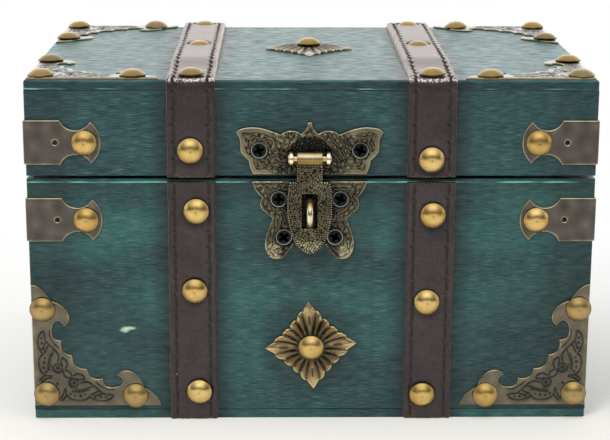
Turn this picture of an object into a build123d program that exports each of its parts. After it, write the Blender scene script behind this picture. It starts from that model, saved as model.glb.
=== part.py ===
from build123d import *
import os

# Miniature trunk with a hinged lid, in millimetres.
# X runs to the right, Y to the back and Z up. The front faces -Y.
# The origin is the centre of the underside.

# Wooden box and lid
base_width = 220.0
base_depth = 144.0
base_height = 98.0
lid_height = 37.4
rim_gap = 1.2
wall = 7.0
bottom_thickness = 3.5
top_thickness = 4.0
board_round = 0.5
edge_round = 1.2

# Headless pins that hold the boards together
panel_pin_diameter = 1.2
panel_pin_bite = 7.0
base_corner_pin_shares = (0.16, 0.33, 0.84)
lid_corner_pin_share = 0.36
bottom_pin_shares = (-0.40, 0.0, 0.40)
top_pin_shares = (-0.33, 0.33)

# Domed nails
nail_head_diameter = 10.2
nail_head_height = 2.6
nail_rim_height = 0.4
nail_shank_diameter = 1.8
nail_point_length = 1.2
nail_wood_left = 0.6

# Leather straps
strap_width = 18.6
strap_thickness = 1.4
strap_rim_step = 1.1
lid_strap_overhang = 0.3
latch_strap_gap = 8.05
strap_corner_gap = 4.15
base_strap_nail_shares = {
    -1: ((0.09, 0.873), (0.04, 0.544), (0.11, 0.118)),
    1: ((0.04, 0.856), (-0.05, 0.497), (-0.11, 0.104)),
}
lid_strap_nail_shares = {-1: (-0.02, 0.275), 1: (-0.01, 0.18)}
top_strap_nail_shares = (-0.462, 0.02, 0.434)

# Axe-shaped brackets round the front corners
bracket_thickness = 0.8
bracket_length = 28.8
bracket_height = 17.3
bracket_plain_length = 13.2
bracket_neck_place = 18.4
bracket_neck_height = 9.6
bracket_wing_place = 25.0
bracket_wing_height = 16.2
bracket_hole_place = 11.4
bracket_hole_diameter = 2.0
bracket_nail_place = 22.6
lid_bracket_share = 0.353
base_bracket_share = 0.62

# Scrolled corner plates
corner_thickness = 0.8
corner_side_inset = 0.2
corner_lift = 5.5
corner_top_inset = 1.2
corner_nail_inset = 4.9
corner_far_nail_inset = 4.3
corner_nail_reach_share = 0.802
corner_end_shares = ((1.0, 0.0), (1.0, 0.02))
corner_leaf_shares = ((1.0, 0.02), (0.965, 0.08), (0.915, 0.122), (0.868, 0.152))
corner_head_shares = ((0.868, 0.152), (0.847, 0.208), (0.803, 0.264), (0.735, 0.292), (0.66, 0.25))
corner_scroll_shares = ((0.66, 0.25), (0.70, 0.185), (0.645, 0.152), (0.544, 0.228))
corner_scallop_shares = ((0.544, 0.228), (0.455, 0.237), (0.42, 0.307))
corner_heart_shares = ((0.42, 0.307), (0.334, 0.334), (0.307, 0.42))

# Four-pointed star bosses
star_radius = 18.2
star_waist_share = 0.605
star_scallops = 6
star_scallop_depth = 1.05
star_tip_depth = 0.3
star_plate_thickness = 0.9
star_height = 2.6
star_skirt_radius = 10.5
star_seat_radius = 4.6
front_star_share = 0.31
front_star_tilt = 3.6
top_star_offset = 3.0

# Butterfly latch: upper plate on the lid, lower plate on the base
latch_offset = -0.8
latch_thickness = 1.6
upper_half_width = 28.2
upper_height = 20.2
upper_edge_gap = 1.0
upper_antenna_shares = ((0.028, 1.0), (0.033, 0.925), (0.05, 0.872), (0.078, 0.825), (0.117, 0.775))
upper_brow_shares = ((0.117, 0.775), (0.255, 0.842), (0.40, 0.762))
upper_wing_shares = ((0.40, 0.762), (0.56, 0.85), (0.73, 0.905), (0.88, 0.895), (0.965, 0.855), (0.998, 0.80))
upper_flank_shares = ((0.998, 0.80), (0.957, 0.70), (0.945, 0.56), (0.94, 0.45), (0.90, 0.36), (0.828, 0.265))
upper_foot_shares = ((0.828, 0.265), (0.811, 0.13), (0.768, 0.0))
upper_screw_shares = (0.69, 0.465)
lower_half_width = 22.1
lower_height = 31.0
lower_edge_gap = 0.7
lower_shoulder_shares = ((1.0, 0.0), (0.935, -0.12), (0.83, -0.21))
lower_lobe_shares = ((0.83, -0.21), (0.86, -0.31), (0.79, -0.385))
lower_waist_shares = ((0.79, -0.385), (0.645, -0.475))
lower_wing_shares = ((0.645, -0.475), (0.70, -0.58), (0.78, -0.79), (0.69, -0.98))
lower_foot_shares = ((0.69, -0.98), (0.58, -1.0), (0.47, -0.985))
lower_tail_shares = ((0.47, -0.985), (0.37, -0.90), (0.285, -0.815))
lower_belly_shares = ((0.285, -0.815), (0.0, -0.77))
lower_screw_shares = ((0.54, -0.225), (0.45, -0.715))

# Hasp, its barrel and pin
hasp_axis_share = 0.337
hasp_thickness = 1.6
hasp_clearance = 0.8
barrel_diameter = 5.5
barrel_length = 9.7
barrel_clearance = 0.3
latch_pin_diameter = 2.4
latch_pin_head_diameter = 3.8
latch_pin_head_length = 0.5
latch_pin_overhang = 0.4
lug_width = 1.8
lug_diameter = 5.4
lug_side_gap = 1.4
hasp_half_width = 8.6
hasp_length = 38.3
hasp_neck_half_width = 4.9
hasp_side_shares = ((0.90, -0.245), (1.0, -0.42), (0.95, -0.66), (0.72, -0.85))
hasp_end_shares = ((0.72, -0.85), (0.42, -0.942), (0.0, -1.0))
slot_width = 6.3
slot_length = 13.9
slot_drop = 14.1
slot_corner = 0.4

# Padlock staple
staple_wire_diameter = 2.7
staple_bend_radius = 4.5
staple_leg_length = 5.0
staple_wood_left = 1.5

# Screws of the latch and the hinges
latch_screw_head = 6.2
latch_screw_shank = 2.4
hinge_screw_head = 3.6
hinge_screw_shank = 1.6
screw_wood_left = 1.0
screw_crown_share = 0.05
screw_cross_length_share = 0.56
screw_cross_width_share = 0.12
screw_cross_depth_share = 0.13
screw_point_share = 0.5

# Butt hinges on the back
hinge_width = 26.0
hinge_leaf_reach = 15.0
hinge_leaf_thickness = 0.8
hinge_knuckle_diameter = 4.4
hinge_pin_diameter = 2.0
hinge_middle_knuckle = 9.0
hinge_knuckle_gap = 0.15
hinge_wood_clearance = 0.3
hinge_screw_share = 0.31
hinge_screw_reach = 9.4
running_clearance = 0.05

overrun = 1.0

# Heights and places that follow from the sizes above
lid_bottom = base_height + rim_gap
full_height = lid_bottom + lid_height
half_width = base_width / 2
half_depth = base_depth / 2
nail_bite = min(wall, top_thickness) - nail_wood_left
strap_x = upper_half_width + abs(latch_offset) + latch_strap_gap + strap_width / 2
corner_arm = half_width - corner_side_inset - strap_x - strap_width / 2 - strap_corner_gap
corner_nail_reach = corner_nail_reach_share * corner_arm
corner_top = corner_lift + corner_arm
lid_bracket_z = lid_bottom + lid_bracket_share * lid_height
base_bracket_z = corner_top + base_bracket_share * (base_height - corner_top)
front_star_z = front_star_share * base_height
upper_bottom = lid_bottom + upper_edge_gap
lower_top = base_height - lower_edge_gap
latch_axis_y = -half_depth - latch_thickness - barrel_clearance - barrel_diameter / 2
latch_axis_z = upper_bottom + hasp_axis_share * upper_height
lug_inner = barrel_length / 2 + lug_side_gap
lug_outer = lug_inner + lug_width
hasp_back = latch_thickness + hasp_clearance
staple_z = latch_axis_z - slot_drop - slot_length / 2
staple_bend_y = -half_depth - latch_thickness - staple_leg_length
hinge_axis_y = half_depth + hinge_wood_clearance + hinge_knuckle_diameter / 2
hinge_axis_z = base_height + rim_gap / 2
hinge_x = (strap_x + strap_width / 2 + half_width) / 2
hinge_leaf_gap = hinge_knuckle_diameter / 2 + hinge_wood_clearance

os.makedirs("parts", exist_ok=True)


def save(piece, name):
    piece.part.label = name
    export_step(piece.part, f"parts/{name}.step")


# Places on the outer faces, each a plane whose normal points out of the box
def on_front(x, z, cover=0):
    return Plane(origin=(x, -half_depth - cover, z), x_dir=(1, 0, 0), z_dir=(0, -1, 0))


def on_back(x, z, cover=0):
    return Plane(origin=(x, half_depth + cover, z), x_dir=(-1, 0, 0), z_dir=(0, 1, 0))


def on_top(x, y, cover=0):
    return Plane(origin=(x, y, full_height + cover), x_dir=(1, 0, 0), z_dir=(0, 0, 1))


def on_side(side, y, z, cover=0):
    return Plane(origin=(side * (half_width + cover), y, z), x_dir=(0, side, 0), z_dir=(side, 0, 0))


def on_underside(x, y):
    return Plane(origin=(x, y, 0), x_dir=(1, 0, 0), z_dir=(0, 0, -1))


def spread(shares, width, height):
    return [(across * width, along * height) for across, along in shares]


# Fasteners, each standing on its own XY plane with its shank pointing down
def panel_pin(board):
    with BuildPart(mode=Mode.PRIVATE) as pin:
        Cylinder(
            panel_pin_diameter / 2, board + panel_pin_bite, align=(Align.CENTER, Align.CENTER, Align.MAX)
        )
    return pin.part


def nail(cover):
    head = nail_head_diameter / 2
    shank = nail_shank_diameter / 2
    rise = nail_head_height - nail_rim_height
    tip = -cover - nail_bite
    dome = (head**2 + rise**2) / (2 * rise)
    with BuildPart(mode=Mode.PRIVATE) as body:
        with BuildSketch(Plane.XZ):
            with BuildLine():
                Polyline(
                    (0, nail_head_height), (0, tip), (shank, tip + nail_point_length), (shank, 0), (head, 0),
                    (head, nail_rim_height),
                )
                RadiusArc((head, nail_rim_height), (0, nail_head_height), -dome)
            make_face()
        revolve(axis=Axis.Z)
    return body.part


def screw(head_diameter, shank_diameter, plate):
    head = head_diameter / 2
    shank = shank_diameter / 2
    crown = screw_crown_share * head_diameter
    tip = -plate - wall + screw_wood_left
    with BuildPart(mode=Mode.PRIVATE) as body:
        with BuildSketch(Plane.XZ):
            with BuildLine():
                Polyline(
                    (0, crown), (0, tip), (shank, tip + screw_point_share * shank_diameter), (shank, -plate),
                    (head, 0),
                )
                ThreePointArc((head, 0), (head / 2, 3 * crown / 4), (0, crown))
            make_face()
        revolve(axis=Axis.Z)
        for turn in (0, 90):
            with Locations(Location((0, 0, crown), (0, 0, turn))):
                Box(
                    screw_cross_length_share * head_diameter,
                    screw_cross_width_share * head_diameter,
                    2 * screw_cross_depth_share * head_diameter,
                    mode=Mode.SUBTRACT,
                )
    return body.part


def screw_hole(head_diameter, shank_diameter, plate):
    head = head_diameter / 2
    shank = shank_diameter / 2
    tip = -plate - wall + screw_wood_left
    with BuildPart(mode=Mode.PRIVATE) as hole:
        with BuildSketch(Plane.XZ):
            with BuildLine():
                Polyline(
                    (0, 0), (0, tip), (shank, tip + screw_point_share * shank_diameter), (shank, -plate),
                    (head, 0), close=True,
                )
            make_face()
        revolve(axis=Axis.Z)
    return hole.part


def drill(shape, seats):
    with Locations(*seats):
        add(shape, mode=Mode.SUBTRACT)


def plant(shape, seats):
    with Locations(*seats):
        add(shape)


# Seats of every fastener, kept here because the wood, the trim and the fasteners all share them
ends = (-1, 1)
wall_middle_y = half_depth - wall / 2
wall_middle_x = half_width - wall / 2

bottom_pin_seats = [
    on_underside(share * base_width, end * wall_middle_y) for share in bottom_pin_shares for end in ends
]
front_pin_seats = [
    on_front(side * wall_middle_x, share * base_height) for side in ends for share in base_corner_pin_shares
]
back_pin_seats = [
    on_back(side * wall_middle_x, share * base_height) for side in ends for share in base_corner_pin_shares
]
lid_pin_z = lid_bottom + lid_corner_pin_share * lid_height
lid_front_pin_seats = [on_front(side * wall_middle_x, lid_pin_z) for side in ends]
lid_back_pin_seats = [on_back(side * wall_middle_x, lid_pin_z) for side in ends]
top_pin_seats = [on_top(share * base_width, end * wall_middle_y) for share in top_pin_shares for end in ends]

front_strap_seats = []
back_strap_seats = []
lid_front_strap_seats = []
lid_back_strap_seats = []
top_strap_seats = []
for side in ends:
    for across, height in base_strap_nail_shares[side]:
        nail_x = side * strap_x + across * strap_width
        front_strap_seats.append(on_front(nail_x, height * base_height, strap_thickness))
        back_strap_seats.append(on_back(nail_x, height * base_height, strap_thickness))
    across, height = lid_strap_nail_shares[side]
    nail_x = side * strap_x + across * strap_width
    nail_z = lid_bottom + height * lid_height
    lid_front_strap_seats.append(on_front(nail_x, nail_z, strap_thickness))
    lid_back_strap_seats.append(on_back(nail_x, nail_z, strap_thickness))
    for share in top_strap_nail_shares:
        top_strap_seats.append(on_top(side * strap_x, share * base_depth, strap_thickness))


def bracket_seats(side, height):
    front = on_front(side * (half_width - bracket_nail_place), height, bracket_thickness)
    flank = on_side(side, -half_depth + bracket_nail_place, height, bracket_thickness)
    return front, flank


# A corner plate's plane has its two arms along its X and Y
def front_corner(side):
    origin = (side * (half_width - corner_side_inset), -half_depth, corner_lift)
    along = (1, 0, 0) if side < 0 else (0, 0, 1)
    return Plane(origin=origin, x_dir=along, z_dir=(0, -1, 0))


def top_corner(side, end):
    inset_x = half_width - corner_top_inset
    inset_y = half_depth - corner_top_inset
    along = (-side, 0, 0) if side * end > 0 else (0, -end, 0)
    return Plane(origin=(side * inset_x, end * inset_y, full_height), x_dir=along, z_dir=(0, 0, 1))


def corner_seats(corner):
    spots = (
        (corner_nail_inset, corner_nail_inset),
        (corner_nail_reach, corner_far_nail_inset),
        (corner_far_nail_inset, corner_nail_reach),
    )
    return [corner * Location((*spot, corner_thickness)) for spot in spots]


front_star_place = Plane(on_front(0, front_star_z).location * Rotation(0, 0, front_star_tilt))
top_star_place = on_top(0, top_star_offset)
front_star_seat = front_star_place.offset(star_height)
top_star_seat = top_star_place.offset(star_height)

upper_screw_seats = [
    on_front(
        latch_offset + side * upper_screw_shares[0] * upper_half_width,
        upper_bottom + upper_screw_shares[1] * upper_height,
        latch_thickness,
    )
    for side in ends
]
lower_screw_seats = [
    on_front(latch_offset + side * across * lower_half_width, lower_top + drop * lower_height, latch_thickness)
    for side in ends
    for across, drop in lower_screw_shares
]


def hinge_seats(side, end):
    spots = (-hinge_screw_share * hinge_width, hinge_screw_share * hinge_width)
    height = hinge_axis_z + end * hinge_screw_reach
    return [on_back(side * hinge_x + spot, height, hinge_leaf_thickness) for spot in spots]


base_hinge_seats = [seat for side in ends for seat in hinge_seats(side, -1)]
lid_hinge_seats = [seat for side in ends for seat in hinge_seats(side, 1)]
base_bracket_seats = [bracket_seats(side, base_bracket_z) for side in ends]
lid_bracket_seats = [bracket_seats(side, lid_bracket_z) for side in ends]
base_corner_seats = [seat for side in ends for seat in corner_seats(front_corner(side))]
lid_corner_seats = [seat for side in ends for end in ends for seat in corner_seats(top_corner(side, end))]

corner_pin = panel_pin(wall)
bottom_pin = panel_pin(bottom_thickness)
top_pin = panel_pin(top_thickness)
strap_nail = nail(strap_thickness)
bracket_nail = nail(bracket_thickness)
corner_nail = nail(corner_thickness)
star_nail = nail(star_height)
latch_screw = screw(latch_screw_head, latch_screw_shank, latch_thickness)
latch_screw_hole = screw_hole(latch_screw_head, latch_screw_shank, latch_thickness)
hinge_screw = screw(hinge_screw_head, hinge_screw_shank, hinge_leaf_thickness)
hinge_screw_hole = screw_hole(hinge_screw_head, hinge_screw_shank, hinge_leaf_thickness)


def staple_legs():
    leg_top = staple_z + staple_bend_radius
    leg_foot = staple_z - staple_bend_radius
    return [on_front(latch_offset, height, latch_thickness) for height in (leg_top, leg_foot)]


staple_reach = latch_thickness + wall - staple_wood_left


def drill_staple():
    with Locations(*staple_legs()):
        Cylinder(
            staple_wire_diameter / 2,
            staple_reach,
            align=(Align.CENTER, Align.CENTER, Align.MAX),
            mode=Mode.SUBTRACT,
        )


# Base boards: front and back run the full width, the sides stand between them
base_wall_height = base_height - bottom_thickness
base_wall_z = bottom_thickness + base_wall_height / 2
side_board_depth = base_depth - 2 * wall

with BuildPart() as base_front_panel:
    with Locations((0, -wall_middle_y, base_wall_z)):
        Box(base_width, wall, base_wall_height)
    face = base_front_panel.faces().sort_by(Axis.Y)[0]
    fillet(face.edges(), board_round)
    drill(bottom_pin, bottom_pin_seats)
    drill(corner_pin, front_pin_seats)
    drill(strap_nail, front_strap_seats)
    drill(bracket_nail, [front for front, flank in base_bracket_seats])
    drill(corner_nail, base_corner_seats)
    drill(star_nail, [front_star_seat])
    drill(latch_screw_hole, lower_screw_seats)
    drill_staple()
save(base_front_panel, "base_front_panel")

with BuildPart() as base_back_panel:
    with Locations((0, wall_middle_y, base_wall_z)):
        Box(base_width, wall, base_wall_height)
    face = base_back_panel.faces().sort_by(Axis.Y)[-1]
    fillet(face.edges(), board_round)
    drill(bottom_pin, bottom_pin_seats)
    drill(corner_pin, back_pin_seats)
    drill(strap_nail, back_strap_seats)
    drill(hinge_screw_hole, base_hinge_seats)
save(base_back_panel, "base_back_panel")

for side, name in zip(ends, ("left", "right")):
    with BuildPart() as base_side_panel:
        with Locations((side * wall_middle_x, 0, base_wall_z)):
            Box(wall, side_board_depth, base_wall_height)
        face = base_side_panel.faces().sort_by(Axis.X)[0 if side < 0 else -1]
        fillet(face.edges(), board_round)
        drill(corner_pin, front_pin_seats + back_pin_seats)
        drill(bracket_nail, [flank for front, flank in base_bracket_seats])
    save(base_side_panel, f"base_{name}_panel")

with BuildPart() as base_bottom_panel:
    with Locations((0, 0, bottom_thickness / 2)):
        Box(base_width, base_depth, bottom_thickness)
    fillet(base_bottom_panel.edges().filter_by(Axis.Z), edge_round)
    drill(bottom_pin, bottom_pin_seats)
save(base_bottom_panel, "base_bottom_panel")

with BuildPart() as base_panel_pins:
    plant(bottom_pin, bottom_pin_seats)
    plant(corner_pin, front_pin_seats + back_pin_seats)
save(base_panel_pins, "base_panel_pins")

# Lid boards: four rails under a top board whose edge shows all round
rail_height = lid_height - top_thickness
rail_z = lid_bottom + rail_height / 2

with BuildPart() as lid_front_rail:
    with Locations((0, -wall_middle_y, rail_z)):
        Box(base_width, wall, rail_height)
    face = lid_front_rail.faces().sort_by(Axis.Y)[0]
    fillet(face.edges(), board_round)
    drill(top_pin, top_pin_seats)
    drill(corner_pin, lid_front_pin_seats)
    drill(strap_nail, lid_front_strap_seats)
    drill(bracket_nail, [front for front, flank in lid_bracket_seats])
    drill(latch_screw_hole, upper_screw_seats)
save(lid_front_rail, "lid_front_rail")

with BuildPart() as lid_back_rail:
    with Locations((0, wall_middle_y, rail_z)):
        Box(base_width, wall, rail_height)
    face = lid_back_rail.faces().sort_by(Axis.Y)[-1]
    fillet(face.edges(), board_round)
    drill(top_pin, top_pin_seats)
    drill(corner_pin, lid_back_pin_seats)
    drill(strap_nail, lid_back_strap_seats)
    drill(hinge_screw_hole, lid_hinge_seats)
save(lid_back_rail, "lid_back_rail")

for side, name in zip(ends, ("left", "right")):
    with BuildPart() as lid_side_rail:
        with Locations((side * wall_middle_x, 0, rail_z)):
            Box(wall, side_board_depth, rail_height)
        face = lid_side_rail.faces().sort_by(Axis.X)[0 if side < 0 else -1]
        fillet(face.edges(), board_round)
        drill(corner_pin, lid_front_pin_seats + lid_back_pin_seats)
        drill(bracket_nail, [flank for front, flank in lid_bracket_seats])
    save(lid_side_rail, f"lid_{name}_rail")

with BuildPart() as lid_top_panel:
    with Locations((0, 0, full_height - top_thickness / 2)):
        Box(base_width, base_depth, top_thickness)
    fillet(lid_top_panel.edges().filter_by(Axis.Z), edge_round)
    fillet(lid_top_panel.faces().sort_by(Axis.Z)[-1].edges(), edge_round)
    drill(top_pin, top_pin_seats)
    drill(strap_nail, top_strap_seats)
    drill(corner_nail, lid_corner_seats)
    drill(star_nail, [top_star_seat])
save(lid_top_panel, "lid_top_panel")

with BuildPart() as lid_panel_pins:
    plant(top_pin, top_pin_seats)
    plant(corner_pin, lid_front_pin_seats + lid_back_pin_seats)
save(lid_panel_pins, "lid_panel_pins")

# Straps: plain bands on the base, and one band over the lid on each side
base_strap_height = base_height - strap_rim_step
lid_strap_foot = lid_bottom - lid_strap_overhang

for side, name in zip(ends, ("left", "right")):
    for end, wall_name, seats in ((-1, "front", front_strap_seats), (1, "back", back_strap_seats)):
        with BuildPart() as base_strap:
            with Locations((side * strap_x, end * (half_depth + strap_thickness / 2), base_strap_height / 2)):
                Box(strap_width, strap_thickness, base_strap_height)
            drill(strap_nail, seats)
        save(base_strap, f"base_{wall_name}_strap_{name}")

    with BuildPart() as lid_strap:
        with BuildSketch(Plane.YZ.offset(side * strap_x)):
            with BuildLine():
                FilletPolyline(
                    (-half_depth - strap_thickness, lid_strap_foot),
                    (-half_depth - strap_thickness, full_height + strap_thickness),
                    (half_depth + strap_thickness, full_height + strap_thickness),
                    (half_depth + strap_thickness, lid_strap_foot),
                    radius=edge_round + strap_thickness,
                )
                Line((half_depth + strap_thickness, lid_strap_foot), (half_depth, lid_strap_foot))
                FilletPolyline(
                    (half_depth, lid_strap_foot),
                    (half_depth, full_height),
                    (-half_depth, full_height),
                    (-half_depth, lid_strap_foot),
                    radius=edge_round,
                )
                Line((-half_depth, lid_strap_foot), (-half_depth - strap_thickness, lid_strap_foot))
            make_face()
        extrude(amount=strap_width / 2, both=True)
        drill(strap_nail, lid_front_strap_seats + top_strap_seats + lid_back_strap_seats)
    save(lid_strap, f"lid_strap_{name}")

with BuildPart() as base_strap_nails:
    plant(strap_nail, front_strap_seats + back_strap_seats)
save(base_strap_nails, "base_strap_nails")

with BuildPart() as lid_strap_nails:
    plant(strap_nail, lid_front_strap_seats + top_strap_seats + lid_back_strap_seats)
save(lid_strap_nails, "lid_strap_nails")


# Brackets: a rectangle, a waisted neck and an axe-blade end, bent round the corner
def bracket_leg(place, start):
    top = bracket_height / 2
    wing = bracket_wing_height / 2
    with BuildSketch(place) as leg:
        with BuildLine():
            Polyline((bracket_plain_length, top), (start, top), (start, -top), (bracket_plain_length, -top))
            for up in ends:
                ThreePointArc(
                    (bracket_plain_length, up * top),
                    (bracket_neck_place, up * bracket_neck_height / 2),
                    (bracket_wing_place, up * wing),
                )
            ThreePointArc((bracket_wing_place, wing), (bracket_length, 0), (bracket_wing_place, -wing))
        make_face()
        with Locations((bracket_hole_place, 0)):
            Circle(bracket_hole_diameter / 2, mode=Mode.SUBTRACT)
        with Locations((bracket_nail_place, 0)):
            Circle(nail_shank_diameter / 2, mode=Mode.SUBTRACT)
    return leg.sketch


for part_name, height in (("base", base_bracket_z), ("lid", lid_bracket_z)):
    for side, name in zip(ends, ("left", "right")):
        corner = (side * half_width, -half_depth, height)
        front_face = Plane(origin=corner, x_dir=(-side, 0, 0), z_dir=(0, -1, 0))
        side_face = Plane(origin=corner, x_dir=(0, 1, 0), z_dir=(side, 0, 0))
        with BuildPart() as bracket:
            extrude(bracket_leg(front_face, -bracket_thickness), amount=bracket_thickness)
            extrude(bracket_leg(side_face, 0), amount=bracket_thickness)
            bend = (side * (half_width + bracket_thickness), -half_depth - bracket_thickness, height)
            fillet(bracket.edges().filter_by(Axis.Z).sort_by_distance(bend)[0], bracket_thickness / 2)
        save(bracket, f"{part_name}_bracket_{name}")

with BuildPart() as base_bracket_nails:
    plant(bracket_nail, [seat for pair in base_bracket_seats for seat in pair])
save(base_bracket_nails, "base_bracket_nails")

with BuildPart() as lid_bracket_nails:
    plant(bracket_nail, [seat for pair in lid_bracket_seats for seat in pair])
save(lid_bracket_nails, "lid_bracket_nails")


# Corner plates: two like arms with scrolled inner edges, mirrored about the diagonal
def corner_plate(corner, name):
    def points(shares):
        return spread(shares, corner_arm, corner_arm)

    with BuildPart() as plate:
        with BuildSketch(corner):
            with BuildLine():
                Line((0, 0), (corner_arm, 0))
                Line(*points(corner_end_shares))
                Spline(*points(corner_leaf_shares))
                Spline(*points(corner_head_shares))
                Spline(*points(corner_scroll_shares))
                ThreePointArc(*points(corner_scallop_shares))
                mirror(about=Plane(origin=(0, 0, 0), x_dir=(1, 1, 0), z_dir=(1, -1, 0)))
                ThreePointArc(*points(corner_heart_shares))
            make_face()
        extrude(amount=corner_thickness)
        drill(corner_nail, corner_seats(corner))
    save(plate, name)


for side, name in zip(ends, ("left", "right")):
    corner_plate(front_corner(side), f"base_corner_plate_{name}")
    for end, end_name in zip(ends, ("front", "back")):
        corner_plate(top_corner(side, end), f"lid_corner_plate_{end_name}_{name}")

with BuildPart() as base_corner_nails:
    plant(corner_nail, base_corner_seats)
save(base_corner_nails, "base_corner_nails")

with BuildPart() as lid_corner_nails:
    plant(corner_nail, lid_corner_seats)
save(lid_corner_nails, "lid_corner_nails")


# Star: four slim tips, rounded leaves along the hollow sides and a low cone that seats the nail
def star_edge(turn):
    first = Vector(star_radius, 0).rotate(Axis.Z, turn)
    last = Vector(star_radius, 0).rotate(Axis.Z, turn + 90)
    waist = Vector(star_waist_share * star_radius, 0).rotate(Axis.Z, turn + 45)
    bow = ThreePointArc(first, waist, last, mode=Mode.PRIVATE)
    for step in range(star_scallops):
        begin = bow @ (step / star_scallops)
        close = bow @ ((step + 1) / star_scallops)
        middle = (begin + close) / 2
        depth = star_tip_depth if step in (0, star_scallops - 1) else star_scallop_depth
        crest = middle + middle.normalized() * depth
        ThreePointArc(begin, crest, close)


def star(place, seat, name):
    with BuildPart() as boss:
        with BuildSketch(place):
            with BuildLine():
                for turn in (0, 90, 180, 270):
                    star_edge(turn)
            make_face()
        extrude(amount=star_plate_thickness)
        with BuildSketch(place.offset(star_plate_thickness)):
            Circle(star_skirt_radius)
        with BuildSketch(seat):
            Circle(star_seat_radius)
        loft()
        drill(star_nail, [seat])
    save(boss, name)


star(front_star_place, front_star_seat, "front_star")
star(top_star_place, top_star_seat, "top_star")

with BuildPart() as front_star_nail:
    plant(star_nail, [front_star_seat])
save(front_star_nail, "front_star_nail")

with BuildPart() as top_star_nail:
    plant(star_nail, [top_star_seat])
save(top_star_nail, "top_star_nail")

# Upper latch plate: butterfly wings with a blunt antenna, and two lugs for the hasp's pin
with BuildPart() as latch_upper_plate:
    with BuildSketch(on_front(latch_offset, upper_bottom)):
        with BuildLine():
            antenna = spread(upper_antenna_shares, upper_half_width, upper_height)
            Line((0, upper_height), antenna[0])
            Spline(*antenna)
            ThreePointArc(*spread(upper_brow_shares, upper_half_width, upper_height))
            Spline(*spread(upper_wing_shares, upper_half_width, upper_height))
            Spline(*spread(upper_flank_shares, upper_half_width, upper_height))
            ThreePointArc(*spread(upper_foot_shares, upper_half_width, upper_height))
            Line((upper_foot_shares[-1][0] * upper_half_width, 0), (0, 0))
            mirror(about=Plane.YZ)
        make_face()
    extrude(amount=latch_thickness)
    drill(latch_screw_hole, upper_screw_seats)
    lug_foot_y = -half_depth - latch_thickness
    lug_radius = lug_diameter / 2
    for side in ends:
        lug_middle = latch_offset + side * (lug_inner + lug_outer) / 2
        with BuildSketch(Plane.YZ.offset(lug_middle)):
            with Locations((latch_axis_y, latch_axis_z)):
                Circle(lug_radius)
            with Locations(((latch_axis_y + lug_foot_y) / 2, latch_axis_z)):
                Rectangle(lug_foot_y - latch_axis_y, lug_diameter)
        extrude(amount=lug_width / 2, both=True)
    with BuildSketch(Plane.YZ.offset(latch_offset)):
        with Locations((latch_axis_y, latch_axis_z)):
            Circle(latch_pin_diameter / 2)
    extrude(amount=lug_outer + overrun, both=True, mode=Mode.SUBTRACT)
save(latch_upper_plate, "latch_upper_plate")

with BuildPart() as latch_upper_screws:
    plant(latch_screw, upper_screw_seats)
save(latch_upper_screws, "latch_upper_screws")

with BuildPart() as latch_pin:
    with BuildSketch(Plane.YZ.offset(latch_offset - lug_outer)):
        with Locations((latch_axis_y, latch_axis_z)):
            Circle(latch_pin_diameter / 2)
    extrude(amount=2 * lug_outer + latch_pin_overhang)
    with BuildSketch(Plane.YZ.offset(latch_offset - lug_outer)):
        with Locations((latch_axis_y, latch_axis_z)):
            Circle(latch_pin_head_diameter / 2)
    extrude(amount=-latch_pin_head_length)
save(latch_pin, "latch_pin")

# Lower latch plate with the padlock staple
with BuildPart() as latch_lower_plate:
    with BuildSketch(on_front(latch_offset, lower_top)):
        with BuildLine():
            Line((0, 0), (lower_half_width, 0))
            ThreePointArc(*spread(lower_shoulder_shares, lower_half_width, lower_height))
            ThreePointArc(*spread(lower_lobe_shares, lower_half_width, lower_height))
            Line(*spread(lower_waist_shares, lower_half_width, lower_height))
            Spline(*spread(lower_wing_shares, lower_half_width, lower_height))
            ThreePointArc(*spread(lower_foot_shares, lower_half_width, lower_height))
            ThreePointArc(*spread(lower_tail_shares, lower_half_width, lower_height))
            Line(*spread(lower_belly_shares, lower_half_width, lower_height))
            mirror(about=Plane.YZ)
        make_face()
    extrude(amount=latch_thickness)
    drill(latch_screw_hole, lower_screw_seats)
    drill_staple()
save(latch_lower_plate, "latch_lower_plate")

with BuildPart() as latch_lower_screws:
    plant(latch_screw, lower_screw_seats)
save(latch_lower_screws, "latch_lower_screws")

leg_end_y = -half_depth - latch_thickness + staple_reach
leg_top_z = staple_z + staple_bend_radius
leg_foot_z = staple_z - staple_bend_radius
with BuildPart() as latch_staple:
    with BuildLine(Plane.YZ.offset(latch_offset)) as staple_path:
        Line((leg_end_y, leg_top_z), (staple_bend_y, leg_top_z))
        ThreePointArc(
            (staple_bend_y, leg_top_z), (staple_bend_y - staple_bend_radius, staple_z), (staple_bend_y, leg_foot_z)
        )
        Line((staple_bend_y, leg_foot_z), (leg_end_y, leg_foot_z))
    with BuildSketch(Plane(origin=(latch_offset, leg_end_y, leg_top_z), z_dir=(0, -1, 0))):
        Circle(staple_wire_diameter / 2)
    sweep()
save(latch_staple, "latch_staple")

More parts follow.
